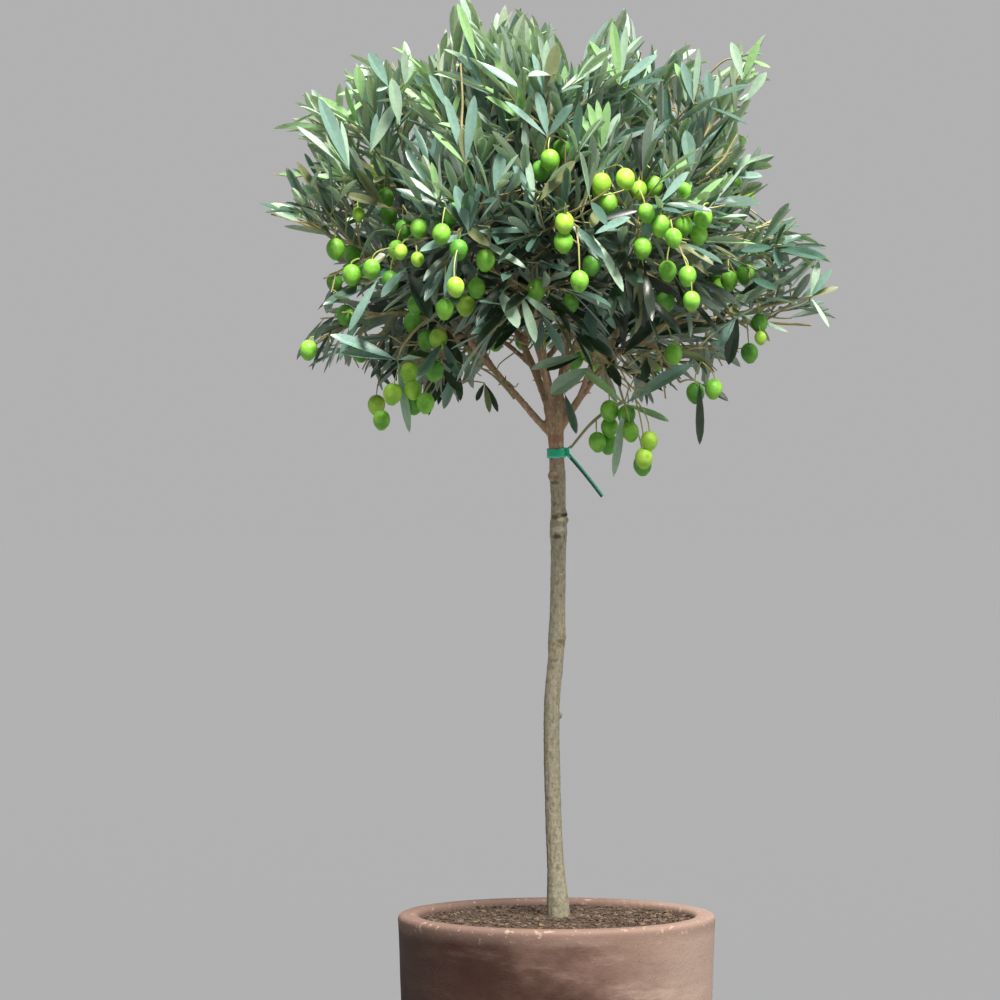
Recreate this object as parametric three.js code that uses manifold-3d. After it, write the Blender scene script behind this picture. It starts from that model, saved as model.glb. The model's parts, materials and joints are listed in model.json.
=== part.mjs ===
// A young olive tree grown as a half standard in a thick-walled clay planter.
// Millimetres, +Z up, the origin at the middle of the planter's flat underside, -Y towards the viewer.
// One straight stem rises from the compost and forks into five main boughs. Side boughs leave those,
// and every bough ends in a mass of leafy twigs that keeps to its own cell of the round crown.

import * as THREE from "three";
import { mergeVertices } from "three/addons/utils/BufferGeometryUtils.js";
import Module from "manifold-3d";

const wasm = await Module();
wasm.setup();

const CLEARANCE = 0.3; // air left between neighbouring pieces
const SHORTEST_EDGE = 0.02;
const UP = new THREE.Vector3(0, 0, 1);
const GOLDEN_ANGLE = Math.PI * (3 - Math.sqrt(5));
const RIGHT_ANGLE = Math.PI / 2;

// The planter: a slightly tapered cylinder with a thick rounded rim
const POT_HEIGHT = 300;
const POT_RIM_RADIUS = 159;
const POT_FOOT_RADIUS = 149;
const POT_WALL = 21;
const POT_FLOOR = 24;
const POT_EDGE = 5;
const POT_SIDES = 36;

// The compost: almost level with the rim, its middle a little higher than its edge
const COMPOST_EDGE_HEIGHT = POT_HEIGHT - 5;
const COMPOST_HEIGHT = POT_HEIGHT - 3;
const COMPOST_FLAT_RADIUS = 60;

// The stem: its centre line leans and bends a little, and it swells at the foot, the scars and the fork
const GROUND = COMPOST_HEIGHT + CLEARANCE;
const STEM_PATH = [
  [2, -12, GROUND - 30],
  [2, -12, GROUND],
  [-3, -10, 390],
  [-5, -8, 500],
  [0, -6, 570],
  [2, -5, 690],
  [0, -4, 760],
  [-2, -4, 800],
];
const STEM_FOOT_RADIUS = 8.6;
const STEM_HEAD_RADIUS = 7.6;
const STEM_FLARE = 3.4;
const STEM_FLARE_HEIGHT = 34;
const FORK_SWELL = 1.6;
const FORK_SWELL_HEIGHT = 22;
const SCARS = [
  { height: 576, swell: 1.2 },
  { height: 684, swell: 1.7 },
  { height: 736, swell: 0.7 },
];
const SCAR_HALF_HEIGHT = 9;
const STEM_SIDES = 8;
const STEM_RINGS = 28;

// The tie: a flat plastic band round the stem under the fork, with a loose tail that points down
const TIE_HEIGHT = 760;
const TIE_WIDTH = 9;
const TIE_THICKNESS = 1.2;
const TIE_SIDES = 18;
const TIE_SLACK = 0.9; // air between the band and the stem inside it
const TAIL_WIDTH = 4;
const TAIL_LENGTH = 58;
const TAIL_SLOPE = THREE.MathUtils.degToRad(53);

// The limbs. Each leaves its parent at a share of the parent's length and runs to its own tip, where a
// mass of foliage takes over and reaches on to the crown's outline. Twig is the length of the mass's
// side twigs, lift turns them up (above 0) or lets them droop (below 0), and fruit is the number of
// olives that hang in it. Sag is how far the limb's line hangs down near its start and near its tip.
const LIMBS = [
  { name: "top_left", parent: "stem", at: 0.985, tip: [-51, -8, 1002], radius: 5.2,
    reach: [-92, -16, 1211], twig: 77, lift: 0.9, fruit: 0 },
  { name: "top_right", parent: "stem", at: 0.965, tip: [32, 10, 1002], radius: 4.8,
    reach: [54, 14, 1197], twig: 77, lift: 0.9, fruit: 1 },
  { name: "low_left", parent: "stem", at: 0.95, tip: [-118, -16, 888], radius: 4.2,
    reach: [-256, -22, 866], twig: 65, lift: -0.3, fruit: 3, sag: [22, 42] },
  { name: "sprig_right", parent: "stem", at: 0.955, tip: [128, -18, 890], radius: 4.4,
    reach: [276, -26, 886], twig: 65, lift: 0.3, fruit: 1 },
  { name: "back_left", parent: "stem", at: 0.97, tip: [-74, 91, 932], radius: 4.6,
    reach: [-150, 220, 1000], twig: 77, lift: 0.3, fruit: 1 },
  { name: "middle", parent: "top_right", at: 0.6, tip: [-6, -10, 990], radius: 3,
    reach: [-12, -16, 1152], twig: 65, lift: 0.6, fruit: 1 },
  { name: "shoulder_left", parent: "top_left", at: 0.42, tip: [-109, -8, 988], radius: 3.4,
    reach: [-240, -12, 1124], twig: 77, lift: 0.7, fruit: 1 },
  { name: "side_left", parent: "low_left", at: 0.5, tip: [-141, -13, 939], radius: 3.2,
    reach: [-285, -18, 1002], twig: 69, lift: 0.3, fruit: 3 },
  { name: "hanging_left", parent: "low_left", at: 0.62, tip: [-103, -67, 868], radius: 2.9,
    reach: [-156, -92, 782], twig: 57, lift: -0.8, fruit: 3 },
  { name: "front_left", parent: "top_left", at: 0.24, tip: [-55, -92, 946], radius: 3.4,
    reach: [-106, -226, 1004], twig: 77, lift: 0.2, fruit: 3 },
  { name: "front_top", parent: "top_right", at: 0.45, tip: [-7, -67, 1006], radius: 3.2,
    reach: [-16, -152, 1148], twig: 77, lift: 0.6, fruit: 2 },
  { name: "shoulder_right", parent: "top_right", at: 0.4, tip: [99, -6, 994], radius: 3.4,
    reach: [196, -10, 1158], twig: 77, lift: 0.7, fruit: 2 },
  { name: "side_right", parent: "sprig_right", at: 0.42, tip: [112, -22, 954], radius: 3.2,
    reach: [244, -34, 996], twig: 67, lift: 0.5, fruit: 2 },
  { name: "low_right", parent: "sprig_right", at: 0.55, tip: [99, -59, 860], radius: 2.9,
    reach: [150, -88, 784], twig: 59, lift: -0.6, fruit: 2 },
  { name: "hanging_right", parent: "sprig_right", at: 0.2, tip: [44, -62, 852], radius: 2.8,
    reach: [66, -84, 742], twig: 51, lift: -1, fruit: 4 },
  { name: "front_right", parent: "top_right", at: 0.2, tip: [56, -92, 939], radius: 3.4,
    reach: [104, -226, 992], twig: 77, lift: 0.2, fruit: 3 },
  { name: "front_middle", parent: "top_right", at: 0.3, tip: [4, -92, 958], radius: 3,
    reach: [6, -256, 1000], twig: 69, lift: 0.4, fruit: 3 },
  { name: "front_low", parent: "top_left", at: 0.12, tip: [-24, -96, 908], radius: 2.9,
    reach: [-28, -225, 916], twig: 63, lift: -0.3, fruit: 3 },
  { name: "back_right", parent: "back_left", at: 0.3, tip: [74, 91, 934], radius: 3.6,
    reach: [150, 220, 1000], twig: 77, lift: 0.3, fruit: 1 },
  { name: "back_top", parent: "back_left", at: 0.48, tip: [-2, 70, 1002], radius: 3.4,
    reach: [-10, 150, 1146], twig: 77, lift: 0.6, fruit: 0 },
  { name: "back_low_left", parent: "back_left", at: 0.36, tip: [-78, 86, 878], radius: 2.9,
    reach: [-130, 192, 832], twig: 65, lift: -0.4, fruit: 1 },
  { name: "back_low_right", parent: "back_right", at: 0.36, tip: [63, 84, 867], radius: 2.9,
    reach: [116, 200, 830], twig: 65, lift: -0.4, fruit: 1 },
];
const LIMB_TIP_RADIUS = 2.4;
const LIMB_SIDES = 5;
const LIMB_RINGS = 6;
const LIMB_START_PULL = 0.32;
const LIMB_END_PULL = 0.34;
const RISE_AT_PARENT = 0.55;

// The crown's outline from the front, sideways and up, from its top left clockwise. No leaf tip passes
// it. It is open round the fork. Nearer the front and the back it is drawn in towards the centre.
const CROWN_CENTRE = [-5, 985];
const CROWN_OUTLINE = [
  [-112, 1200],
  [-92, 1216],
  [-50, 1188],
  [54, 1200],
  [124, 1164],
  [202, 1172],
  [214, 1118],
  [198, 1062],
  [244, 1012],
  [270, 960],
  [280, 884],
  [212, 866],
  [170, 812],
  [150, 758],
  [84, 730],
  [48, 728],
  [34, 800],
  [26, 838],
  [-20, 850],
  [-44, 880],
  [-84, 872],
  [-112, 814],
  [-140, 762],
  [-184, 774],
  [-212, 838],
  [-266, 852],
  [-236, 912],
  [-224, 955],
  [-290, 986],
  [-284, 1094],
  [-248, 1132],
  [-156, 1168],
];
const CROWN_DEPTH = 272;
const CROWN_POWER = 2.5; // how square the crown is from front to back

// The twigs, leaves and olives of a mass, drawn larger than life because they are few
const CELL_GAP = 0.6;
const CELL_CENTRE = 0.55;
const SIDE_TWIGS = 7;
const TWIG_SIDES = 3;
const MAIN_TWIG_RINGS = 4;
const MAIN_TWIG_RADII = [3.4, 1.6]; // at its root and at its tip
const SIDE_TWIG_RADII = [1.3, 0.9];
const SIDE_TWIG_SHARES = [0.06, 0.84]; // where the first and the last leave the main twig
const SIDE_TWIG_PITCHES = [83, 40].map(THREE.MathUtils.degToRad);
const SIDE_TWIG_SHORTENING = [1.13, 0.81]; // the first is longest
const TWIG_LIFT = 0.3;
const UNEVENNESS = 0.3;
const LEAF_LENGTH = 78;
const LEAF_WIDTH = 21;
const LEAF_THICKNESS = 1.7;
const LEAF_PITCH = THREE.MathUtils.degToRad(50);
const END_LEAF_PITCH = THREE.MathUtils.degToRad(6);
const LEAF_LIFT = 0.3;
const LEAF_SPACING = 17;
const LEAF_WIDEST = 0.45;
const LEAF_FREE = 0.14; // past this share of its length a leaf touches nothing else
const OLIVE_LENGTH = 21;
const OLIVE_WIDTH = 17;
const OLIVE_SIDES = 5;
const STALK_RADIUS = 1.1;
const STALK_LENGTH = 18;
const OLIVE_SHARES = [0.35, 0.65]; // how far along its twig an olive hangs

const COLOURS = {
  planter: 0x8a6a5d,
  compost: 0x4a3328,
  bark: 0x8b8069,
  foliage: 0x6f8672,
  tie: 0x2f9b76,
};

function vector(place) {
  return new THREE.Vector3(...place);
}

// A solid that can be joined and cut, made from a closed geometry
function solidOf(geometry) {
  const bare = geometry.clone();
  bare.deleteAttribute("normal");
  bare.deleteAttribute("uv");
  const merged = mergeVertices(bare, 1e-4);
  const mesh = new wasm.Mesh({
    numProp: 3,
    vertProperties: merged.attributes.position.array,
    triVerts: Uint32Array.from(merged.index.array),
  });
  return new wasm.Manifold(mesh);
}

function geometryOf(solid) {
  const { vertProperties, triVerts } = solid.getMesh();
  const geometry = new THREE.BufferGeometry();
  geometry.setAttribute("position", new THREE.BufferAttribute(vertProperties, 3));
  geometry.setIndex(new THREE.BufferAttribute(triVerts, 1));
  geometry.computeVertexNormals();
  return geometry;
}

function largestPiece(solid) {
  const pieces = solid.decompose();
  return pieces.reduce((best, piece) => (piece.volume() > best.volume() ? piece : best));
}

function piece(name, geometry, colour, roughness) {
  const material = new THREE.MeshStandardMaterial({ color: colour, roughness, metalness: 0 });
  const mesh = new THREE.Mesh(geometry, material);
  mesh.name = name;
  return mesh;
}

// The same numbers for the same seed, from 0 to 1
function randomFrom(seed) {
  let state = seed;
  return () => {
    state = (state * 16807) % 2147483647;
    return state / 2147483647;
  };
}

// A round limb along a curve: a closed cylinder whose rings are moved onto the curve. Grown adds a
// skin of air all round it, which is then cut from its neighbours.
function limbGeometry(curve, radiusAt, sides, rings, grown = 0) {
  const geometry = new THREE.CylinderGeometry(1, 1, 1, sides, rings);
  const frames = curve.computeFrenetFrames(rings, false);
  const position = geometry.attributes.position;
  for (let i = 0; i < position.count; i += 1) {
    const share = position.getY(i) + 0.5;
    const ring = Math.round(share * rings);
    const radius = radiusAt(share) + grown;
    const place = curve.getPointAt(share);
    place.addScaledVector(frames.binormals[ring], position.getX(i) * radius);
    place.addScaledVector(frames.normals[ring], position.getZ(i) * radius);
    if (ring === 0) place.addScaledVector(frames.tangents[ring], -grown);
    if (ring === rings) place.addScaledVector(frames.tangents[ring], grown);
    position.setXYZ(i, place.x, place.y, place.z);
  }
  return geometry;
}

function planterGeometry() {
  const profile = new THREE.Path();
  const rimInside = POT_RIM_RADIUS - POT_WALL;
  const footInside = POT_FOOT_RADIUS - POT_WALL;
  profile.moveTo(0, 0);
  profile.lineTo(POT_FOOT_RADIUS - POT_EDGE, 0);
  profile.quadraticCurveTo(POT_FOOT_RADIUS, 0, POT_FOOT_RADIUS, POT_EDGE);
  profile.lineTo(POT_RIM_RADIUS, POT_HEIGHT - POT_EDGE);
  profile.quadraticCurveTo(POT_RIM_RADIUS, POT_HEIGHT, POT_RIM_RADIUS - POT_EDGE, POT_HEIGHT);
  profile.lineTo(rimInside + POT_EDGE, POT_HEIGHT);
  profile.quadraticCurveTo(rimInside, POT_HEIGHT, rimInside, POT_HEIGHT - POT_EDGE);
  profile.lineTo(footInside, POT_FLOOR);
  profile.lineTo(0, POT_FLOOR);
  return new THREE.LatheGeometry(profile.getPoints(2), POT_SIDES).rotateX(RIGHT_ANGLE);
}

// The compost fills the planter, the clearance short of its inside wall and floor
function compostGeometry() {
  const wallLean = (POT_RIM_RADIUS - POT_FOOT_RADIUS) / (POT_HEIGHT - POT_FLOOR);
  const bottomRadius = POT_FOOT_RADIUS - POT_WALL - CLEARANCE;
  const bottom = POT_FLOOR + CLEARANCE;
  const topRadius = bottomRadius + wallLean * (COMPOST_EDGE_HEIGHT - bottom - POT_EDGE);
  const profile = [
    new THREE.Vector2(0, bottom),
    new THREE.Vector2(bottomRadius, bottom),
    new THREE.Vector2(topRadius, COMPOST_EDGE_HEIGHT),
    new THREE.Vector2(COMPOST_FLAT_RADIUS, COMPOST_HEIGHT),
    new THREE.Vector2(0, COMPOST_HEIGHT),
  ];
  return new THREE.LatheGeometry(profile, POT_SIDES).rotateX(RIGHT_ANGLE);
}

const stemCurve = new THREE.CatmullRomCurve3(STEM_PATH.map(vector));

function bulge(height, centre, halfHeight) {
  return Math.exp(-(((height - centre) / halfHeight) ** 2));
}

function stemRadius(share) {
  const height = stemCurve.getPointAt(share).z;
  let radius = THREE.MathUtils.lerp(STEM_FOOT_RADIUS, STEM_HEAD_RADIUS, share);
  radius += STEM_FLARE * bulge(Math.max(height, GROUND), GROUND, STEM_FLARE_HEIGHT);
  radius += FORK_SWELL * bulge(height, STEM_PATH.at(-1)[2], FORK_SWELL_HEIGHT);
  for (const scar of SCARS) radius += scar.swell * bulge(height, scar.height, SCAR_HALF_HEIGHT);
  return radius;
}

// The stem, cut flat where it meets the compost
function stemSolid(grown) {
  const whole = solidOf(limbGeometry(stemCurve, stemRadius, STEM_SIDES, STEM_RINGS, grown));
  const belowGround = new THREE.BoxGeometry(100, 100, 100).translate(0, 0, GROUND - 50);
  return whole.subtract(solidOf(belowGround));
}

// A loose band, whose tail leaves it on the right
function tieSolid() {
  const share = (TIE_HEIGHT - STEM_PATH[0][2]) / (STEM_PATH.at(-1)[2] - STEM_PATH[0][2]);
  const inside = (stemRadius(share) + TIE_SLACK) / Math.cos(Math.PI / TIE_SIDES);
  const profile = [
    new THREE.Vector2(inside, 0),
    new THREE.Vector2(inside + TIE_THICKNESS, 0),
    new THREE.Vector2(inside + TIE_THICKNESS, TIE_WIDTH),
    new THREE.Vector2(inside, TIE_WIDTH),
    new THREE.Vector2(inside, 0),
  ];
  const band = new THREE.LatheGeometry(profile, TIE_SIDES).rotateX(RIGHT_ANGLE);
  const tail = new THREE.BoxGeometry(TAIL_LENGTH, TIE_THICKNESS, TAIL_WIDTH);
  tail.translate(TAIL_LENGTH / 2, 0, 0).rotateY(TAIL_SLOPE);
  const middle = TIE_WIDTH / 2;
  tail.translate(inside + TIE_THICKNESS / 2, 0, middle);
  const { x, y } = stemCurve.getPointAt(share);
  return solidOf(band).add(solidOf(tail)).translate([x, y, TIE_HEIGHT - middle]);
}

// A limb rises from its parent's line, then bends to point at the far end of its own foliage
function limbCurve(limb, parentCurve) {
  const start = parentCurve.getPointAt(limb.at);
  const tip = vector(limb.tip);
  const span = tip.distanceTo(start);
  const leave = tip.clone().sub(start).normalize();
  leave.addScaledVector(parentCurve.getTangentAt(limb.at), RISE_AT_PARENT).normalize();
  const arrive = vector(limb.reach).sub(tip).normalize();
  const [sagAtStart, sagAtTip] = limb.sag ?? [0, 0];
  const afterStart = start.clone().addScaledVector(leave, span * LIMB_START_PULL);
  const beforeTip = tip.clone().addScaledVector(arrive, -span * LIMB_END_PULL);
  afterStart.addScaledVector(UP, -sagAtStart);
  beforeTip.addScaledVector(UP, -sagAtTip);
  return new THREE.CubicBezierCurve3(start, afterStart, beforeTip, tip);
}

function taper(root, tip) {
  return (share) => THREE.MathUtils.lerp(root, tip, share);
}

// The middle of a mass's own cell. A place belongs to the mass whose middle is nearest.
function cellCentre(limb) {
  return vector(limb.tip).lerp(vector(limb.reach), CELL_CENTRE);
}

// True inside the crown. A line from the place to one side crosses the outline an odd number of times.
function inCrown(corner) {
  const depth = Math.abs(corner.y) / CROWN_DEPTH;
  if (depth >= 1) return false;
  const shrink = (1 - depth ** CROWN_POWER) ** (1 / CROWN_POWER);
  const x = CROWN_CENTRE[0] + (corner.x - CROWN_CENTRE[0]) / shrink;
  const z = CROWN_CENTRE[1] + (corner.z - CROWN_CENTRE[1]) / shrink;
  const crossed = CROWN_OUTLINE.filter(([x1, z1], i) => {
    const [x2, z2] = CROWN_OUTLINE[(i + 1) % CROWN_OUTLINE.length];
    return z1 > z !== z2 > z && x < x1 + ((z - z1) * (x2 - x1)) / (z2 - z1);
  });
  return crossed.length % 2 === 1;
}

// True if all the corners lie inside the mass's cell, clear of its boundary
function inCell(limb, corners) {
  const own = cellCentre(limb);
  return LIMBS.every((other) => {
    if (other === limb) return true;
    const theirs = cellCentre(other);
    const between = own.distanceTo(theirs);
    return corners.every((corner) => {
      const nearer = corner.distanceToSquared(theirs) - corner.distanceToSquared(own);
      return nearer / (2 * between) > CELL_GAP;
    });
  });
}

function cornersOf(geometry) {
  const position = geometry.attributes.position;
  return Array.from({ length: position.count }, (_, i) =>
    new THREE.Vector3().fromBufferAttribute(position, i));
}

// A direction at the pitch from the axis, turned round it by the angle
function turnedFrom(axis, pitch, angle) {
  const side = new THREE.Vector3().crossVectors(axis, UP);
  if (side.lengthSq() < 0.01) side.set(1, 0, 0);
  side.normalize().applyAxisAngle(axis, angle);
  return axis.clone().multiplyScalar(Math.cos(pitch)).addScaledVector(side, Math.sin(pitch));
}

// A factor a little over or under 1
function uneven(random) {
  return 1 + UNEVENNESS * (random() - 0.5);
}

// The twigs of a mass: a main twig that goes on from the bough, and side twigs spiralling up it
function twigCurves(limb, boughCurve, random) {
  const { lerp } = THREE.MathUtils;
  const onward = boughCurve.getTangentAt(1);
  const start = vector(limb.tip).addScaledVector(onward, CLEARANCE);
  const reach = vector(limb.reach);
  const end = reach.clone().lerp(start, LEAF_LENGTH / reach.distanceTo(start));
  const bend = start.clone().addScaledVector(onward, start.distanceTo(end) / 2);
  const main = new THREE.QuadraticBezierCurve3(start, bend, end);
  const curves = [main];
  const phase = random() * Math.PI * 2;
  for (let i = 0; i < SIDE_TWIGS; i += 1) {
    const order = i / (SIDE_TWIGS - 1);
    const share = lerp(...SIDE_TWIG_SHARES, order);
    const pitch = lerp(...SIDE_TWIG_PITCHES, order);
    const root = main.getPointAt(share);
    const heading = turnedFrom(main.getTangentAt(share), pitch, phase + i * GOLDEN_ANGLE);
    const length = limb.twig * lerp(...SIDE_TWIG_SHORTENING, order) * uneven(random);
    const tip = root.clone().addScaledVector(heading, length);
    tip.addScaledVector(UP, limb.lift * TWIG_LIFT * length);
    curves.push(new THREE.LineCurve3(root, tip));
  }
  return curves;
}

// A lance-shaped leaf of eight faces, from its root along the heading, its face turned to the axis
function leafGeometry(root, heading, axis, length) {
  const leaf = new THREE.OctahedronGeometry(0.5);
  leaf.scale(length, LEAF_WIDTH, LEAF_THICKNESS);
  const position = leaf.attributes.position;
  for (let i = 0; i < position.count; i += 1) {
    const along = position.getX(i) / length;
    if (Math.abs(along) < 0.25) position.setX(i, (LEAF_WIDEST - 0.5) * length);
  }
  leaf.translate(length / 2, 0, 0);
  const across = new THREE.Vector3().crossVectors(axis, heading).normalize();
  const face = new THREE.Vector3().crossVectors(heading, across);
  const turn = new THREE.Matrix4().makeBasis(heading, across, face);
  return leaf.applyMatrix4(turn.setPosition(root));
}

// Pairs of leaves up a twig, each pair square to the last, and one leaf at its tip
function leafGeometries(curve, lift, random) {
  const leaves = [];
  const length = curve.getLength();
  const pairs = Math.max(1, Math.floor(length / LEAF_SPACING));
  const phase = random() * Math.PI;
  for (let pair = 0; pair < pairs; pair += 1) {
    const share = (pair + 1) / (pairs + 0.5);
    const root = curve.getPointAt(share);
    const axis = curve.getTangentAt(share);
    for (const side of [0, Math.PI]) {
      const angle = phase + pair * RIGHT_ANGLE + side;
      const heading = turnedFrom(axis, LEAF_PITCH, angle);
      heading.addScaledVector(UP, LEAF_LIFT * lift).normalize();
      const size = LEAF_LENGTH * uneven(random);
      leaves.push({ geometry: leafGeometry(root, heading, axis, size), heading });
    }
  }
  const axis = curve.getTangentAt(1);
  const onward = turnedFrom(axis, END_LEAF_PITCH, phase);
  const root = curve.getPointAt(1).addScaledVector(axis, -SIDE_TWIG_RADII[1]);
  leaves.push({ geometry: leafGeometry(root, onward, axis, LEAF_LENGTH), heading: onward });
  return leaves;
}

// An olive on its stalk, turned in one outline and hanging from a twig
function oliveGeometry(curve, share) {
  const top = -STALK_LENGTH;
  const profile = [
    new THREE.Vector2(0, top - OLIVE_LENGTH),
    new THREE.Vector2(0.46 * OLIVE_WIDTH, top - 0.74 * OLIVE_LENGTH),
    new THREE.Vector2(0.46 * OLIVE_WIDTH, top - 0.3 * OLIVE_LENGTH),
    new THREE.Vector2(STALK_RADIUS, top),
    new THREE.Vector2(0, 0),
  ];
  const olive = new THREE.LatheGeometry(profile, OLIVE_SIDES).rotateX(RIGHT_ANGLE);
  return olive.translate(...curve.getPointAt(share).toArray());
}

// A mass of foliage in one piece. What would leave the cell or touch a limb is left out.
function massSolid(limb, boughCurve, keepOut, seed) {
  const random = randomFrom(seed);
  const fits = (corners, solid) =>
    corners.every(inCrown) && inCell(limb, corners) && solid.intersect(keepOut).isEmpty();
  const curves = twigCurves(limb, boughCurve, random);
  const kept = [];
  let mass = null;
  curves.forEach((curve, order) => {
    const radii = order === 0 ? MAIN_TWIG_RADII : SIDE_TWIG_RADII;
    const rings = order === 0 ? MAIN_TWIG_RINGS : 1;
    const twig = limbGeometry(curve, taper(...radii), TWIG_SIDES, rings);
    const solid = solidOf(twig);
    if (order > 0 && !fits(cornersOf(twig), solid)) return;
    mass = mass ? mass.add(solid) : solid;
    kept.push(curve);
  });
  for (const curve of kept) {
    for (const { geometry, heading } of leafGeometries(curve, limb.lift, random)) {
      const solid = solidOf(geometry);
      const pastRoot = solid.translate(heading.multiplyScalar(LEAF_FREE * LEAF_LENGTH).toArray());
      const crosses = !pastRoot.intersect(mass).isEmpty();
      if (!crosses && fits(cornersOf(geometry), solid)) mass = mass.add(solid);
    }
  }
  for (let i = 0; i < limb.fruit; i += 1) {
    const curve = kept[(i + 1) % kept.length];
    const olive = oliveGeometry(curve, THREE.MathUtils.lerp(...OLIVE_SHARES, random()));
    const solid = solidOf(olive);
    if (fits(cornersOf(olive), solid)) mass = mass.add(solid);
  }
  return largestPiece(mass.simplify(SHORTEST_EDGE));
}

const tree = new THREE.Group();
tree.name = "potted_olive";
tree.add(piece("planter", planterGeometry(), COLOURS.planter, 0.85));
tree.add(piece("compost", compostGeometry(), COLOURS.compost, 1));
tree.add(piece("stem", geometryOf(stemSolid(0)), COLOURS.bark, 0.9));
tree.add(piece("tie", geometryOf(tieSolid()), COLOURS.tie, 0.45));

// The boughs, each cut clear of the limbs made before it, and the air round them all
const curves = { stem: stemCurve };
let keepOut = stemSolid(CLEARANCE);
for (const limb of LIMBS) {
  const curve = limbCurve(limb, curves[limb.parent]);
  const radiusAt = taper(limb.radius, LIMB_TIP_RADIUS);
  const bough = solidOf(limbGeometry(curve, radiusAt, LIMB_SIDES, LIMB_RINGS));
  const trimmed = largestPiece(bough.subtract(keepOut));
  tree.add(piece(`bough_${limb.name}`, geometryOf(trimmed), COLOURS.bark, 0.9));
  const air = solidOf(limbGeometry(curve, radiusAt, LIMB_SIDES, LIMB_RINGS, CLEARANCE));
  keepOut = keepOut.add(air);
  curves[limb.name] = curve;
}
keepOut = keepOut.add(tieSolid());

LIMBS.forEach((limb, order) => {
  const mass = massSolid(limb, curves[limb.name], keepOut, 1201 + 13 * order);
  tree.add(piece(`foliage_${limb.name}`, geometryOf(mass), COLOURS.foliage, 0.6));
});

export default tree;
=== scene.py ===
import json
import math

import bpy
import numpy as np
from mathutils import Matrix, Vector, noise

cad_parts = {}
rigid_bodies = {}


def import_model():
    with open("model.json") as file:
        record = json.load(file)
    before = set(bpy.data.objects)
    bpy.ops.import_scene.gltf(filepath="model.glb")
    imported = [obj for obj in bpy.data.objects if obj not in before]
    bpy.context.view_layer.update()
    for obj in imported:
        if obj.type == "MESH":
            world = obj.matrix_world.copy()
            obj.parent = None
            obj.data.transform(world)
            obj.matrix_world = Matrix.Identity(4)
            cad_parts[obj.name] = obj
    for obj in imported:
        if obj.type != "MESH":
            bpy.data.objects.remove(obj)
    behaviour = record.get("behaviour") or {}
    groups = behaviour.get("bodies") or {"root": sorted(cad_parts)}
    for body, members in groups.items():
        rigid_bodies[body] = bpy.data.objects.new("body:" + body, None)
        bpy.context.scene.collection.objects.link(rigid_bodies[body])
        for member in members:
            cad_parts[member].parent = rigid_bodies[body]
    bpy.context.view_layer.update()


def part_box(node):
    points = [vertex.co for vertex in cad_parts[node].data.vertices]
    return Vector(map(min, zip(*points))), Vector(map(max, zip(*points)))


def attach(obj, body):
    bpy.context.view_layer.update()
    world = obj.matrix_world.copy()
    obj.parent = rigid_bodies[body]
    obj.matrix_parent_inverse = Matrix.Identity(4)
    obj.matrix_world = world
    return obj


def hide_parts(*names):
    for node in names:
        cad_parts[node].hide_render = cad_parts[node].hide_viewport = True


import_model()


# The view and the light
# A level camera some way off, a soft key light from high in front, a weak one from the right, a pale
# sky and a plain pale floor that reaches far past the plant.
VIEW_X = -0.0565
VIEW_DISTANCE = 3.84
VIEW_HEIGHT = 0.713
SENSOR = 36.0
LENS = SENSOR * VIEW_DISTANCE

bpy.ops.object.select_all(action="DESELECT")
bpy.ops.object.camera_add(location=(VIEW_X, -VIEW_DISTANCE, VIEW_HEIGHT), rotation=(math.radians(90), 0, 0))
camera = bpy.context.object
camera.data.sensor_width = SENSOR
camera.data.lens = LENS
camera.data.clip_end = 200
bpy.context.scene.camera = camera
bpy.context.scene.view_settings.view_transform = "Standard"


def daylight(name, towards, strength, softness, colour):
    """Even light from one side, with shadows as soft as a lamp of that width in degrees gives."""
    bpy.ops.object.light_add(type="SUN", location=Vector(towards) * 10)
    light = bpy.context.object
    light.name = name
    light.rotation_euler = Vector(towards).to_track_quat("Z", "Y").to_euler()
    light.data.energy = strength
    light.data.angle = math.radians(softness)
    light.data.color = colour


daylight("key", (0.18, -0.48, 0.85), 8.4, 18, (1.0, 0.97, 0.90))
daylight("side", (0.96, -0.20, 0.10), 0.6, 50, (1.0, 0.98, 0.95))


class Wire:
    """One output of a material's nodes. Arithmetic on it adds Math nodes."""

    def __init__(self, tree, socket=None):
        self.tree = tree
        self.socket = socket

    def node(self, kind, settings=None, sockets=None, output=0):
        made = self.tree.nodes.new("ShaderNode" + kind)
        for name, value in (settings or {}).items():
            setattr(made, name, value)
        for name, value in (sockets or {}).items():
            if isinstance(value, Wire):
                self.tree.links.new(value.socket, made.inputs[name])
            else:
                made.inputs[name].default_value = value
        return Wire(self.tree, made.outputs[output] if made.outputs else None)

    def math(self, operation, first, second):
        return self.node("Math", {"operation": operation}, {0: first, 1: second})

    def __add__(self, other):
        return self.math("ADD", self, other)

    def __radd__(self, other):
        return self.math("ADD", other, self)

    def __sub__(self, other):
        return self.math("SUBTRACT", self, other)

    def __rsub__(self, other):
        return self.math("SUBTRACT", other, self)

    def __mul__(self, other):
        return self.math("MULTIPLY", self, other)

    def __rmul__(self, other):
        return self.math("MULTIPLY", other, self)


def paint(red, green, blue):
    """A colour as a paint chart gives it, 0 to 255, in the linear values that a shader takes."""
    parts = [value / 255 for value in (red, green, blue)]
    return (*(p / 12.92 if p < 0.04045 else ((p + 0.055) / 1.055) ** 2.4 for p in parts), 1)


def blank_finish(name):
    finish = bpy.data.materials.new(name)
    finish.use_nodes = True
    finish.node_tree.nodes.clear()
    return finish, Wire(finish.node_tree)


def complete(start, sockets):
    shader = start.node("BsdfPrincipled", {}, sockets)
    start.node("OutputMaterial", {}, {"Surface": shader})


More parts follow.
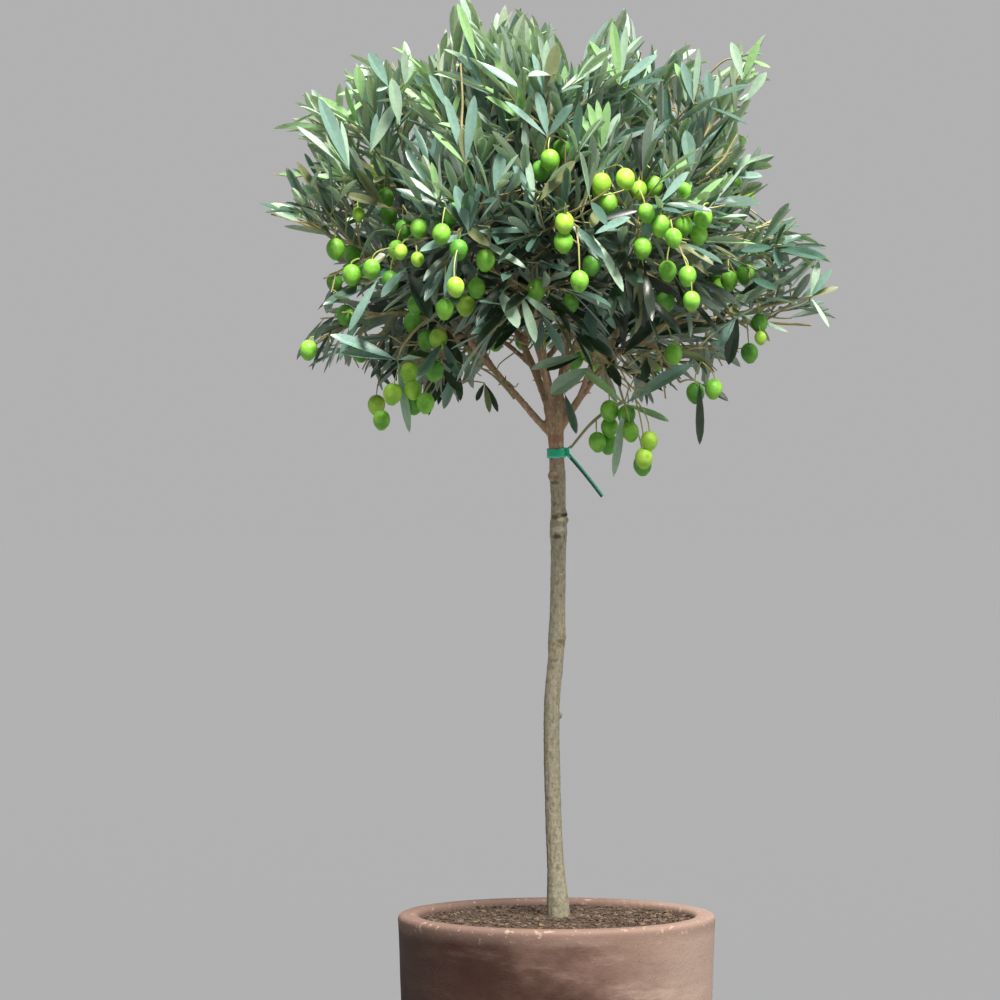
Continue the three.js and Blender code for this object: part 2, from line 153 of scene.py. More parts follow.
def between(start, value, low, high):
    """How far a value is from low to high, kept from 0 to 1 and eased at both ends."""
    settings = {"interpolation_type": "SMOOTHSTEP"}
    return start.node("MapRange", settings, {"Value": value, "From Min": low, "From Max": high})


def blend(start, share, first, second):
    """The first colour where share is 0 and the second where it is 1."""
    return start.node("Mix", {"data_type": "RGBA"}, {0: share, 6: first, 7: second}, 2)


SKY_EDGE = (0.44, 0.44, 0.44, 1)
SKY_DIM = (0.14, 0.14, 0.14, 1)
SKY_TOP = (0.93 * 1.25, 0.97 * 1.25, 1.25, 1)
SKY_DIMS = (0.16, 0.34)  # how high in the sky, from 0 to 1
SKY_CLEARS = (0.55, 0.9)
FLOOR_RADIUS = 60
FLOOR_GREY = paint(101, 102, 105)
sky = bpy.data.worlds.new("sky")
bpy.context.scene.world = sky
sky.use_nodes = True
sky.node_tree.nodes.clear()
start = Wire(sky.node_tree)
height = start.node("SeparateXYZ", {}, {0: start.node("TexCoord", {}, {}, "Generated")}, "Z")
colour = blend(start, between(start, height, *SKY_DIMS), SKY_EDGE, SKY_DIM)
colour = blend(start, between(start, height, *SKY_CLEARS), colour, SKY_TOP)
start.node("OutputWorld", {}, {"Surface": start.node("Background", {}, {"Color": colour, "Strength": 1.0})})

floor_finish, start = blank_finish("pale floor")
complete(start, {"Base Color": FLOOR_GREY, "Roughness": 0.9})
bpy.ops.mesh.primitive_circle_add(vertices=96, radius=FLOOR_RADIUS, fill_type="NGON")
floor = bpy.context.object
floor.name = "floor"
floor.data.materials.append(floor_finish)


# The planter
# A thick-walled round pot of brown clay, thrown on a wheel and left unglazed, with a rounded rim. It
# replaces the faceted solid, whose sizes it takes from the frame.
POT_WALL = 0.021
POT_FLOOR = 0.024
POT_EDGE = 0.0055
POT_TAPER = 149 / 159
POT_SIDES = 96
POT_RINGS = 22
THROWN_DEPTH = 0.0007
THROWN_PITCH = 30  # how fast the rings change with height
HAIR = 0.001  # within this, a corner lies on an edge or level

low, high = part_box("planter")
pot_height = high.z
pot_rim = high.x
pot_foot = pot_rim * POT_TAPER


def only(piece, mode="OBJECT"):
    """Makes the piece the one selected and active object; given EDIT, it also clears what is picked in it."""
    bpy.ops.object.select_all(action="DESELECT")
    piece.select_set(True)
    bpy.context.view_layer.objects.active = piece
    if mode == "EDIT":
        bpy.ops.object.mode_set(mode="EDIT")
        bpy.ops.mesh.select_all(action="DESELECT")
        bpy.ops.object.mode_set(mode="OBJECT")


def pick(piece, kind, test):
    """Goes into edit mode with only those vertices, edges or faces picked whose middle passes the test."""
    only(piece, "EDIT")
    mesh = piece.data
    bpy.context.tool_settings.mesh_select_mode = [kind == name for name in ("vertices", "edges", "polygons")]
    for part in getattr(mesh, kind):
        corners = [part.index] if kind == "vertices" else part.vertices
        places = [mesh.vertices[i].co for i in corners]
        part.select = all(test(place) for place in places)
    bpy.ops.object.mode_set(mode="EDIT")


def settle(piece, modifier_type, **settings):
    """Adds a modifier and applies it at once."""
    only(piece)
    modifier = piece.modifiers.new(modifier_type.lower(), modifier_type)
    for name, value in settings.items():
        setattr(modifier, name, value)
    bpy.ops.object.modifier_apply(modifier=modifier.name)


def smooth_up_to(piece, degrees):
    only(piece)
    bpy.ops.object.shade_smooth_by_angle(angle=math.radians(degrees))


def across(place):
    """How far a place is from the plant's upright middle line."""
    return math.hypot(place.x, place.y)


def added(primitive, name, **sizes):
    """A new mesh primitive, with its place and turn in its mesh."""
    bpy.ops.object.select_all(action="DESELECT")
    primitive(**sizes)
    bpy.ops.object.transform_apply(location=True, rotation=True, scale=True)
    bpy.context.object.name = name
    return bpy.context.object


def narrowed(piece, test, share, height):
    """Draws the picked corners in towards the upright middle line."""
    pick(piece, "vertices", test)
    bpy.ops.transform.resize(value=(share, share, 1), center_override=(0, 0, height))
    bpy.ops.object.mode_set(mode="OBJECT")


def level_cuts(heights):
    """Cuts the piece that is being edited across at each height."""
    for height in heights:
        bpy.ops.mesh.select_all(action="SELECT")
        bpy.ops.mesh.bisect(plane_co=(0, 0, height), plane_no=(0, 0, 1))
    bpy.ops.object.mode_set(mode="OBJECT")


planter = added(bpy.ops.mesh.primitive_cylinder_add, "clay_planter", vertices=POT_SIDES, radius=pot_rim,
                depth=pot_height, location=(0, 0, pot_height / 2))
narrowed(planter, lambda v: v.z < HAIR, POT_TAPER, 0)
pick(planter, "polygons", lambda v: v.z > pot_height - HAIR)
bpy.ops.mesh.inset(thickness=POT_WALL)
bpy.ops.mesh.extrude_region_move(TRANSFORM_OT_translate={"value": (0, 0, POT_FLOOR - pot_height)})
inner_taper = (pot_foot - POT_WALL) / (pot_rim - POT_WALL)
bpy.ops.transform.resize(value=(inner_taper, inner_taper, 1), center_override=(0, 0, POT_FLOOR))
bpy.ops.mesh.inset(thickness=pot_foot / 2)
bpy.ops.object.mode_set(mode="OBJECT")
pick(planter, "edges", lambda v: v.z > pot_height - HAIR or (v.z < HAIR and across(v) > pot_foot - HAIR))
bpy.ops.mesh.bevel(offset=POT_EDGE, segments=5, profile=0.5)
level_cuts(pot_height * ring / POT_RINGS for ring in range(1, POT_RINGS))

# The wheel leaves the wall a little uneven, in rings
for vertex in planter.data.vertices:
    if POT_EDGE < vertex.co.z < pot_height - POT_EDGE and across(vertex.co) > pot_foot - HAIR:
        turn = math.atan2(vertex.co.y, vertex.co.x)
        ring = noise.noise(Vector((0.4 * turn, 0, THROWN_PITCH * vertex.co.z)))
        outward = Vector((vertex.co.x, vertex.co.y, 0)).normalized()
        vertex.co += (ring - 0.6) * THROWN_DEPTH * outward
settle(planter, "SUBSURF", levels=1, render_levels=1)
smooth_up_to(planter, 40)


def own_place(start, axis=None):
    """Where a point lies on the piece, in metres, or how far along one axis."""
    place = start.node("TexCoord", {}, {}, "Object")
    return start.node("SeparateXYZ", {}, {0: place}, axis) if axis else place


def grain(start, scale, stretch=(1, 1, 1), detail=3.0, roughness=0.55):
    """Cloudy noise in the object's own metres, from 0 to 1. A larger scale is finer."""
    place = start.node("Mapping", {}, {"Vector": own_place(start), "Scale": stretch})
    settings = {"Vector": place, "Scale": scale, "Detail": detail, "Roughness": roughness}
    return start.node("TexNoise", {}, settings)


def relief(start, height, depth):
    """A bump, with its depth in metres."""
    return start.node("Bump", {}, {"Height": height, "Distance": depth, "Strength": 1.0})


CLAY = paint(110, 85, 75)
CLAY_DARK = paint(54, 31, 23)
CLAY_RIM = paint(126, 102, 92)
CLAY_BLOOM_AND_LIGHT = paint(180, 157, 143)
clay, start = blank_finish("brown clay")
cloud = grain(start, 9, (1, 1, 1.3), 5, 0.6)
smear = grain(start, 11, (1, 1, 4.5), 5, 0.65)
speck = grain(start, 420, detail=2)
pit = grain(start, 150)
height = own_place(start, "Z")
sideways = own_place(start, "X")
rim = between(start, height + 0.012 * (cloud - 0.5), pot_height - 0.020, pot_height - 0.004)
colour = blend(start, between(start, cloud, 0.34, 0.66), CLAY_DARK, CLAY)
# Painted shade darkens the pot's left side and painted light makes its right side pale in the bloom colour,
# as if lit from the right; smeared blooms are held back in the painted shade
painted_shade_left = between(start, sideways + 0.12 * (smear - 0.5), 0.01, -0.10)
painted_light_right = between(start, sideways + 0.06 * (smear - 0.5), 0.03, 0.16)
colour = blend(start, painted_shade_left * 0.8, colour, CLAY_DARK)
colour = blend(start, painted_light_right * 0.7, colour, CLAY_BLOOM_AND_LIGHT)
colour = blend(start, between(start, smear, 0.5, 0.8) * 0.4 * (1 - 0.9 * painted_shade_left), colour, CLAY_BLOOM_AND_LIGHT)
colour = blend(start, between(start, speck, 0.58, 0.75) * 0.3, colour, CLAY_DARK)
colour = blend(start, rim * 0.7, colour, CLAY_RIM)
colour = blend(start, rim * between(start, pit, 0.6, 0.68) * 0.5, colour, CLAY_BLOOM_AND_LIGHT)
complete(start, {
    "Base Color": colour,
    "Roughness": 0.62 + 0.2 * smear,
    "Specular IOR Level": 0.3,
    "Normal": relief(start, 0.5 * speck + 0.45 * pit + 0.4 * smear, 0.0005),
})
planter.data.materials.append(clay)
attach(planter, "root")
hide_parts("planter")


# The compost
# Dark bark compost, almost level with the rim: a bed with a lumpy top, and loose crumbs and chips
# lying half sunk in it, which also bank up round the foot of the stem.
BED_SIDES = 120
BED_RINGS = 26
BED_GAP = 0.0004  # from the planter's wall
LUMP = 0.0022
MOUND = (0.0026, 0.03)  # its height at the stem and half width
BED_SINK = 0.0022  # towards the wall
CRUMBS = 3400
CRUMB_SIZES = (0.0011, 0.0036)
CHIP_SIZE = 0.0022
CHIP_BARK_SHARE = 0.45
NEAR_STEM_EVERY = 12  # one crumb in so many lies banked round the stem
NEAR_STEM = (0.011, 0.012)  # how far out it starts, and the width of the bank
STEM_FOOT = (0.002, -0.012)

low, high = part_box("compost")
bed_radius = high.x
bed_top = high.z - LUMP
wall_lean = (pot_rim - pot_foot) / pot_height
compost = added(bpy.ops.mesh.primitive_cylinder_add, "compost_bed", vertices=BED_SIDES,
                radius=bed_radius - BED_GAP, depth=bed_top - low.z, location=(0, 0, (bed_top + low.z) / 2))
foot_share = 1 - wall_lean * (bed_top - low.z) / bed_radius
narrowed(compost, lambda v: v.z < low.z + HAIR, foot_share, low.z)
pick(compost, "polygons", lambda v: v.z > bed_top - HAIR)
for ring in range(BED_RINGS):
    bpy.ops.mesh.inset(thickness=0.96 * bed_radius / BED_RINGS)
bpy.ops.mesh.poke()
bpy.ops.mesh.select_all(action="DESELECT")
bpy.ops.object.mode_set(mode="OBJECT")


def bed_height(x, y):
    """The lumpy top of the bed: a mound round the stem that falls to the wall."""
    lumps = noise.fractal(Vector((70 * x, 70 * y, 3.7)), 0.9, 2.1, 4)
    to_stem = math.hypot(x - STEM_FOOT[0], y - STEM_FOOT[1])
    mound = MOUND[0] * math.exp(-((to_stem / MOUND[1]) ** 2))
    sink = BED_SINK * (math.hypot(x, y) / bed_radius) ** 2
    return bed_top + 0.0005 + LUMP * 0.55 * lumps + mound - sink


for vertex in compost.data.vertices:
    if vertex.co.z > bed_top - HAIR:
        vertex.co.z = bed_height(vertex.co.x, vertex.co.y)
settle(compost, "SUBSURF", levels=1, render_levels=1)
smooth_up_to(compost, 50)

EARTH = paint(76, 59, 46)
EARTH_DARK = paint(44, 33, 26)
EARTH_PALE = paint(118, 97, 78)
earth, start = blank_finish("bark compost")
coarse = grain(start, 190, detail=4, roughness=0.6)
fine = grain(start, 900, detail=3, roughness=0.6)
colour = blend(start, between(start, coarse, 0.35, 0.6), EARTH_DARK, EARTH)
colour = blend(start, between(start, fine, 0.58, 0.7) * 0.5, colour, EARTH_PALE)
complete(start, {
    "Base Color": colour,
    "Roughness": 0.95,
    "Normal": relief(start, coarse + 0.5 * fine, 0.0022),
})
compost.data.materials.append(earth)
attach(compost, "root")
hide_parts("compost")


def joined(name, corners, faces, finishes, finish_of_face=None, smooth_degrees=None):
    """Many small things as one mesh, from arrays of their corners and faces."""
    mesh = bpy.data.meshes.new(name)
    mesh.from_pydata(np.asarray(corners).tolist(), [], faces)
    piece = bpy.data.objects.new(name, mesh)
    bpy.context.scene.collection.objects.link(piece)
    for finish in finishes:
        mesh.materials.append(finish)
    if finish_of_face is not None:
        mesh.polygons.foreach_set("material_index", finish_of_face)
    mesh.update()
    if smooth_degrees is not None:
        smooth_up_to(piece, smooth_degrees)
    return piece


def random_from(seed):
    """The same numbers for the same seed, from 0 to 1, by the rule that the solids use."""
    state = seed
    while True:
        state = state * 16807 % 2147483647
        yield state / 2147483647


def lerp(pair, share):
    return pair[0] + (pair[1] - pair[0]) * share


def pattern(primitive, **sizes):
    """The corners and faces of a primitive, to be repeated many times."""
    model = added(primitive, "pattern", **sizes)
    corners = np.array([v.co for v in model.data.vertices])
    faces = [tuple(face.vertices) for face in model.data.polygons]
    bpy.data.objects.remove(model)
    return corners, faces


crumb_corners, crumb_faces = pattern(bpy.ops.mesh.primitive_ico_sphere_add, subdivisions=1, radius=1)
draw = random_from(77)
corners, faces, finish_of_face = [], [], []
for crumb in range(CRUMBS):
    turn = 2 * math.pi * next(draw)
    out = (bed_radius - 0.004) * math.sqrt(next(draw))
    near_stem = crumb % NEAR_STEM_EVERY == 0
    if near_stem:
        out = NEAR_STEM[0] + NEAR_STEM[1] * next(draw)
    x = out * math.cos(turn) + (STEM_FOOT[0] if near_stem else 0)
    y = out * math.sin(turn) + (STEM_FOOT[1] if near_stem else 0)
    size = lerp(CRUMB_SIZES, next(draw) ** 3)
    chip = size > CHIP_SIZE
    shape = np.array([size * (1.5 if chip else 1), size, size * (0.4 if chip else 0.8)])
    rough = np.array([0.75 + 0.5 * next(draw) for _ in crumb_corners])[:, None]
    lean = Matrix.Rotation(math.pi * 0.3 * (next(draw) - 0.5), 3, "X")
    lean @= Matrix.Rotation(2 * math.pi * next(draw), 3, "Z")
    places = (crumb_corners * rough * shape) @ np.array(lean)
    first = len(corners)
    corners.extend(places + np.array([x, y, bed_height(x, y) + 0.3 * shape[2]]))
    faces.extend(tuple(first + i for i in face) for face in crumb_faces)
    shade = 1 if chip and next(draw) < CHIP_BARK_SHARE else 0
    finish_of_face.extend([shade] * len(crumb_faces))

CHIP_DARK = paint(62, 47, 37)
CHIP_PALE = paint(108, 88, 70)
chip_bark, start = blank_finish("bark chips")
fibre = grain(start, 500)
colour = blend(start, between(start, fibre, 0.35, 0.65), CHIP_DARK, CHIP_PALE)
complete(start, {"Base Color": colour, "Roughness": 0.9, "Normal": relief(start, fibre, 0.0005)})
crumbs = joined("compost_crumbs", corners, faces, [earth, chip_bark], finish_of_face)
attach(crumbs, "root")
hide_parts("compost")


# The stem and the boughs
# One living piece of wood: a slender stem that bends a little at its old pruning scars and forks into
# boughs, which taper to where the leafy twigs begin. Round limbs along the source's curves are
# remeshed into one skin, and the bark's fine relief is raised on it.
STEM_GROUND = 0.2973
STEM_PATH = [
    (0.002, -0.012, STEM_GROUND - 0.012), (0.002, -0.012, STEM_GROUND), (-0.003, -0.010, 0.390),
    (-0.005, -0.008, 0.500), (0.000, -0.006, 0.570), (0.002, -0.005, 0.690), (0.000, -0.004, 0.760),
    (-0.002, -0.004, 0.800),
]
STEM_RADII = (0.0086, 0.0076)
STEM_FLARE = (0.0034, 0.034)  # how much, and over what height
FORK_SWELL = (0.0016, 0.022)
SCARS = [(0.576, 0.0012), (0.684, 0.0017), (0.736, 0.0007)]  # height and swell
SCAR_HALF_HEIGHT = 0.009
LIMB_TIP_RADIUS = 0.0024
LIMB_STEPS = 28
LIMB_PULLS = (0.32, 0.34)
RISE_AT_PARENT = 0.55
# Each bough: what it leaves and how far up, its end, its radius at the start, where its foliage reaches
# to, the length of its side twigs, how much they rise, and how far its two bends sag
LIMB_NAMES = ("parent", "at", "tip", "radius", "reach", "twig", "lift", "sag")
LIMBS = {
    "top_left": ("stem", 0.985, (-0.051, -0.008, 1.002), 0.0052, (-0.092, -0.016, 1.211), 0.077, 0.9),
    "top_right": ("stem", 0.965, (0.032, 0.010, 1.002), 0.0048, (0.054, 0.014, 1.197), 0.077, 0.9),
    "low_left": ("stem", 0.95, (-0.118, -0.016, 0.888), 0.0042, (-0.256, -0.022, 0.866), 0.065, -0.3,
                 (0.022, 0.042)),
    "sprig_right": ("stem", 0.955, (0.128, -0.018, 0.890), 0.0044, (0.276, -0.026, 0.886), 0.065, 0.3),
    "back_left": ("stem", 0.97, (-0.074, 0.091, 0.932), 0.0046, (-0.150, 0.220, 1.000), 0.077, 0.3),
    "middle": ("top_right", 0.6, (-0.006, -0.010, 0.990), 0.003, (-0.012, -0.016, 1.152), 0.065, 0.6),
    "shoulder_left": ("top_left", 0.42, (-0.109, -0.008, 0.988), 0.0034, (-0.240, -0.012, 1.124), 0.077, 0.7),
    "side_left": ("low_left", 0.5, (-0.141, -0.013, 0.939), 0.0032, (-0.285, -0.018, 1.002), 0.069, 0.3),
    "hanging_left": ("low_left", 0.62, (-0.103, -0.067, 0.868), 0.0029, (-0.156, -0.092, 0.782), 0.057, -0.8),
    "front_left": ("top_left", 0.24, (-0.055, -0.092, 0.946), 0.0034, (-0.106, -0.226, 1.004), 0.077, 0.2),
    "front_top": ("top_right", 0.45, (-0.007, -0.067, 1.006), 0.0032, (-0.016, -0.152, 1.148), 0.077, 0.6),
    "shoulder_right": ("top_right", 0.4, (0.099, -0.006, 0.994), 0.0034, (0.196, -0.010, 1.158), 0.077, 0.7),
    "side_right": ("sprig_right", 0.42, (0.112, -0.022, 0.954), 0.0032, (0.244, -0.034, 0.996), 0.067, 0.5),
    "low_right": ("sprig_right", 0.55, (0.099, -0.059, 0.860), 0.0029, (0.150, -0.088, 0.784), 0.059, -0.6),
    "hanging_right": ("sprig_right", 0.2, (0.044, -0.062, 0.852), 0.0028, (0.066, -0.084, 0.742), 0.051, -1),
    "front_right": ("top_right", 0.2, (0.056, -0.092, 0.939), 0.0034, (0.104, -0.226, 0.992), 0.077, 0.2),
    "front_middle": ("top_right", 0.3, (0.004, -0.092, 0.958), 0.003, (0.006, -0.256, 1.000), 0.069, 0.4),
    "front_low": ("top_left", 0.12, (-0.024, -0.096, 0.908), 0.0029, (-0.028, -0.225, 0.916), 0.063, -0.3),
    "back_right": ("back_left", 0.3, (0.074, 0.091, 0.934), 0.0036, (0.150, 0.220, 1.000), 0.077, 0.3),
    "back_top": ("back_left", 0.48, (-0.002, 0.070, 1.002), 0.0034, (-0.010, 0.150, 1.146), 0.077, 0.6),
    "back_low_left": ("back_left", 0.36, (-0.078, 0.086, 0.878), 0.0029, (-0.130, 0.192, 0.832), 0.065, -0.4),
    "back_low_right": ("back_right", 0.36, (0.063, 0.084, 0.867), 0.0029, (0.116, 0.200, 0.830), 0.065, -0.4),
}


def unit(vector):
    return vector / np.linalg.norm(vector)


def smooth_path(points, steps):
    """A smooth line through all the points."""
    points = np.array(points, float)
    padded = np.vstack([2 * points[0] - points[1], points, 2 * points[-1] - points[-2]])
    share = np.linspace(0, 1, steps, endpoint=False)[:, None]
    spans = []
    for a, b, c, d in zip(padded, padded[1:], padded[2:], padded[3:]):
        spans.append(0.5 * (2 * b + (c - a) * share + (2 * a - 5 * b + 4 * c - d) * share**2
                            + (3 * b - a - 3 * c + d) * share**3))
    return np.vstack([*spans, points[-1:]])


def bent_path(handles, steps):
    """A curve that leaves the first handle towards the second and ends at the last."""
    share = np.linspace(0, 1, steps + 1)[:, None]
    lines = [np.broadcast_to(np.asarray(handle, float), (steps + 1, 3)) for handle in handles]
    while len(lines) > 1:
        lines = [a + (b - a) * share for a, b in zip(lines, lines[1:])]
    return lines[0]


def along(path, share):
    """The place at that share of a line's length, and the way the line runs there."""
    steps = np.linalg.norm(np.diff(path, axis=0), axis=1)
    walked = np.concatenate([[0], np.cumsum(steps)])
    at = min(max(share, 0), 1) * walked[-1]
    step = min(int(np.searchsorted(walked, at, side="right")) - 1, len(steps) - 1)
    rest = (at - walked[step]) / steps[step]
    return path[step] + rest * (path[step + 1] - path[step]), unit(path[step + 1] - path[step])


def bulge(height, middle, half_height):
    return np.exp(-(((height - middle) / half_height) ** 2))


def stem_radii(path):
    height = path[:, 2]
    radii = np.interp(height, (STEM_PATH[0][2], STEM_PATH[-1][2]), STEM_RADII)
    radii += STEM_FLARE[0] * bulge(np.maximum(height, STEM_GROUND), STEM_GROUND, STEM_FLARE[1])
    radii += FORK_SWELL[0] * bulge(height, STEM_PATH[-1][2], FORK_SWELL[1])
    for scar, swell in SCARS:
        radii += swell * bulge(height, scar, SCAR_HALF_HEIGHT)
    return radii


limbs = {name: dict(zip(LIMB_NAMES, sizes)) for name, sizes in LIMBS.items()}
paths = {"stem": smooth_path(STEM_PATH, 9)}
radii = {"stem": stem_radii(paths["stem"])}
for name, limb in limbs.items():
    root, uphill = along(paths[limb["parent"]], limb["at"])
    tip = np.array(limb["tip"])
    span = np.linalg.norm(tip - root)
    leave = unit(unit(tip - root) + RISE_AT_PARENT * uphill)
    arrive = unit(np.array(limb["reach"]) - tip)
    sag = limb.get("sag", (0, 0))
    after_root = root + LIMB_PULLS[0] * span * leave - (0, 0, sag[0])
    before_tip = tip - LIMB_PULLS[1] * span * arrive - (0, 0, sag[1])
    paths[name] = bent_path([root, after_root, before_tip, tip], LIMB_STEPS)
    radii[name] = np.linspace(limb["radius"], LIMB_TIP_RADIUS, LIMB_STEPS + 1)


def round_limb(name, path, radius):
    """A round limb along a line, closed at both ends."""
    curve = bpy.data.curves.new(name, "CURVE")
    curve.dimensions = "3D"
    curve.bevel_depth = 1
    curve.bevel_resolution = 3
    curve.use_fill_caps = True
    spline = curve.splines.new("POLY")
    spline.points.add(len(path) - 1)
    for point, place, thickness in zip(spline.points, path, radius):
        point.co = (*place, 1)
        point.radius = thickness
    limb = bpy.data.objects.new(name, curve)
    bpy.context.scene.collection.objects.link(limb)
    only(limb)
    bpy.ops.object.convert(target="MESH")
    return bpy.context.object


def fused(parts):
    """All the parts as one object, the first."""
    only(parts[0])
    for part in parts:
        part.select_set(True)
    bpy.ops.object.join()
    return bpy.context.object


# Buds, stubs, the lips of healed cuts and the swollen crotch, as knobs sunk in the wood: place and size
KNOBS = [
    ((-0.0020, -0.0040, 0.7960), (0.0096, 0.0094, 0.0170)),
    ((-0.0070, -0.0040, 0.8060), (0.0062, 0.0060, 0.0130)),
    ((0.0040, -0.0040, 0.8080), (0.0052, 0.0060, 0.0120)),
    ((0.0062, -0.0100, 0.6990), (0.0050, 0.0042, 0.0052)),
    ((0.0098, -0.0070, 0.6930), (0.0026, 0.0030, 0.0034)),
    ((0.0010, -0.0112, 0.6850), (0.0064, 0.0040, 0.0052)),
    ((0.0020, -0.0100, 0.6740), (0.0070, 0.0040, 0.0020)),
    ((0.0045, -0.0080, 0.5768), (0.0058, 0.0048, 0.0034)),
    ((0.0020, -0.0100, 0.5715), (0.0070, 0.0040, 0.0016)),
    ((-0.0030, -0.0092, 0.5570), (0.0060, 0.0044, 0.0034)),
    ((-0.0050, -0.0088, 0.7370), (0.0042, 0.0040, 0.0050)),
    ((-0.0010, -0.0100, 0.7290), (0.0058, 0.0036, 0.0022)),
    ((0.0040, -0.0110, 0.6390), (0.0022, 0.0014, 0.0022)),
    ((-0.0090, -0.0105, 0.4560), (0.0024, 0.0024, 0.0034)),
    ((0.0035, -0.0040, 0.4980), (0.0022, 0.0026, 0.0040)),
]
HOLE = ((0.0085, -0.0130, 0.6975), 0.0024, 0.0017)  # place, half width and depth
# Healed cuts in the bark, twice as wide as tall: place, half width, shade and its share. The hole
# shade is painted shade, in the hollows and under the lips of the cuts.
CUTS = [
    ((0.0020, -0.0145, 0.7015), 0.0040, "cream", 0.60),
    ((-0.0030, -0.0135, 0.6960), 0.0070, "dark", 0.70),
    ((0.0045, -0.0145, 0.6935), 0.0056, "cream", 0.95),
    ((0.0082, -0.0130, 0.6980), 0.0056, "hole", 0.85),
    ((0.0020, -0.0150, 0.6840), 0.0084, "cream", 0.60),
    ((0.0000, -0.0145, 0.6765), 0.0064, "hole", 0.70),
    ((0.0062, -0.0125, 0.5775), 0.0062, "rust", 0.30),
    ((0.0040, -0.0130, 0.5722), 0.0058, "hole", 0.60),
    ((-0.0040, -0.0138, 0.5580), 0.0070, "rust", 0.20),
    ((-0.0030, -0.0138, 0.5530), 0.0050, "hole", 0.45),
    ((-0.0040, -0.0125, 0.7390), 0.0060, "cream", 0.35),
    ((-0.0020, -0.0130, 0.7300), 0.0060, "dark", 0.50),
    ((0.0040, -0.0125, 0.6390), 0.0028, "cream", 0.50),
    ((0.0000, -0.0120, 0.7740), 0.0130, "rust", 0.50),
    ((-0.0030, -0.0130, 0.7360), 0.0080, "rust", 0.45),
    ((0.0000, -0.0130, 0.7520), 0.0120, "rust", 0.25),
    ((0.0020, -0.0130, 0.5690), 0.0060, "rust", 0.35),
    ((-0.0040, -0.0130, 0.5480), 0.0060, "rust", 0.30),
]
# Stubs of shed twigs up the boughs: their shares of its length, length and radii
STUB_SHARES = (0.3, 0.47, 0.63, 0.8)
STUB_LENGTH = 0.008
STUB_RADII = (0.0013, 0.0009)
STUB_ROOT = 0.001  # how deep it is sunk
VOXEL = 0.0012

wood_parts = [round_limb(name, path, radii[name]) for name, path in paths.items()]
for order, (name, limb) in enumerate(limbs.items()):
    for i, share in enumerate(STUB_SHARES):
        root, way = along(paths[name], share)
        turn = 2.4 * i + 1.7 * order
        side = unit(np.cross(way, (math.cos(turn), math.sin(turn), 0.2)))
        out = lerp((limb["radius"], LIMB_TIP_RADIUS), share) - STUB_ROOT
        length = STUB_LENGTH * (0.5 + 0.5 * ((3 * i + 5 * order) % 7) / 6)
        stub_tip = root + (out + length) * side + 0.5 * length * way
        stub = bent_path([root + out * side, root + (out + 0.6 * length) * side, stub_tip], 4)
        wood_parts.append(round_limb("stub", stub, np.linspace(*STUB_RADII, 5)))
for place, size in KNOBS:
    knob = added(bpy.ops.mesh.primitive_uv_sphere_add, "knob", segments=16, ring_count=10, radius=1,
                 location=place, scale=size)
    wood_parts.append(knob)
wood = fused(wood_parts)
wood.name = "stem_and_boughs"
settle(wood, "REMESH", mode="VOXEL", voxel_size=VOXEL, adaptivity=0)
settle(wood, "SMOOTH", factor=0.5, iterations=5)

# Bark: shallow lumps a little longer than wide, and fine warts
BARK_LUMP = 0.0003
BARK_WART = 0.0004
BARK_SINK = 0.0001
hole_place, hole_half, hole_depth = HOLE
normals = [Vector(v.normal) for v in wood.data.vertices]
for vertex, normal in zip(wood.data.vertices, normals):
    x, y, z = vertex.co
    lumps = noise.fractal(Vector((260 * x, 260 * y, 120 * z)), 0.8, 2.0, 3)
    warts = noise.noise(Vector((640 * x, 640 * y, 520 * z)))
    hole = hole_depth * math.exp(-(((vertex.co - Vector(hole_place)).length / hole_half) ** 2))
    vertex.co += normal * (BARK_LUMP * lumps + BARK_WART * max(warts, 0) - BARK_SINK - hole)
smooth_up_to(wood, 60)

BARK = paint(178, 166, 140)
BARK_PALE = paint(212, 203, 180)
BARK_DARK = paint(118, 101, 80)
BARK_GREEN = paint(170, 166, 140)
BARK_RED = paint(180, 122, 76)
BARK_LOW_SHADE = paint(72, 72, 58)
RED_FROM = (0.71, 0.79)
LOW_SHADE_FROM = (0.66, 0.46)
# The hole colour is painted shade for hollows and the undersides of lips
CUT_SHADES = {"cream": paint(236, 222, 190), "dark": paint(84, 66, 50), "rust": paint(158, 96, 74),
              "hole": paint(48, 36, 28)}
bark, start = blank_finish("olive bark")
mottle = grain(start, 340, (1, 1, 0.55), 4, 0.62)
patch = grain(start, 70, (1, 1, 0.45))
wart = grain(start, 900, (1, 1, 0.8), 2)
crack = grain(start, 300, (1, 1, 0.4))
height = own_place(start, "Z")
colour = blend(start, between(start, patch, 0.42, 0.62), BARK, BARK_GREEN)
red = between(start, height + 0.12 * (patch - 0.5), *RED_FROM) * between(start, mottle, 0.3, 0.6)
colour = blend(start, red * 0.8, colour, BARK_RED)
colour = blend(start, between(start, mottle, 0.5, 0.68) * 0.6, colour, BARK_PALE)
colour = blend(start, between(start, mottle, 0.47, 0.34) * 0.75, colour, BARK_DARK)
colour = blend(start, between(start, crack, 0.42, 0.32) * 0.5, colour, BARK_DARK)
colour = blend(start, between(start, wart, 0.6, 0.7) * 0.55, colour, BARK_PALE)
stretched = start.node("Mapping", {}, {"Vector": own_place(start), "Scale": (1, 1, 2)})
for (x, y, z), half_width, shade, share in CUTS:
    gap = start.node("VectorMath", {"operation": "DISTANCE"}, {0: stretched, 1: (x, y, 2 * z)}, "Value")
    gap = gap + 0.3 * half_width * (mottle - 0.5)
    inside = between(start, gap, half_width, 0.5 * half_width)
    colour = blend(start, inside * share, colour, CUT_SHADES[shade])
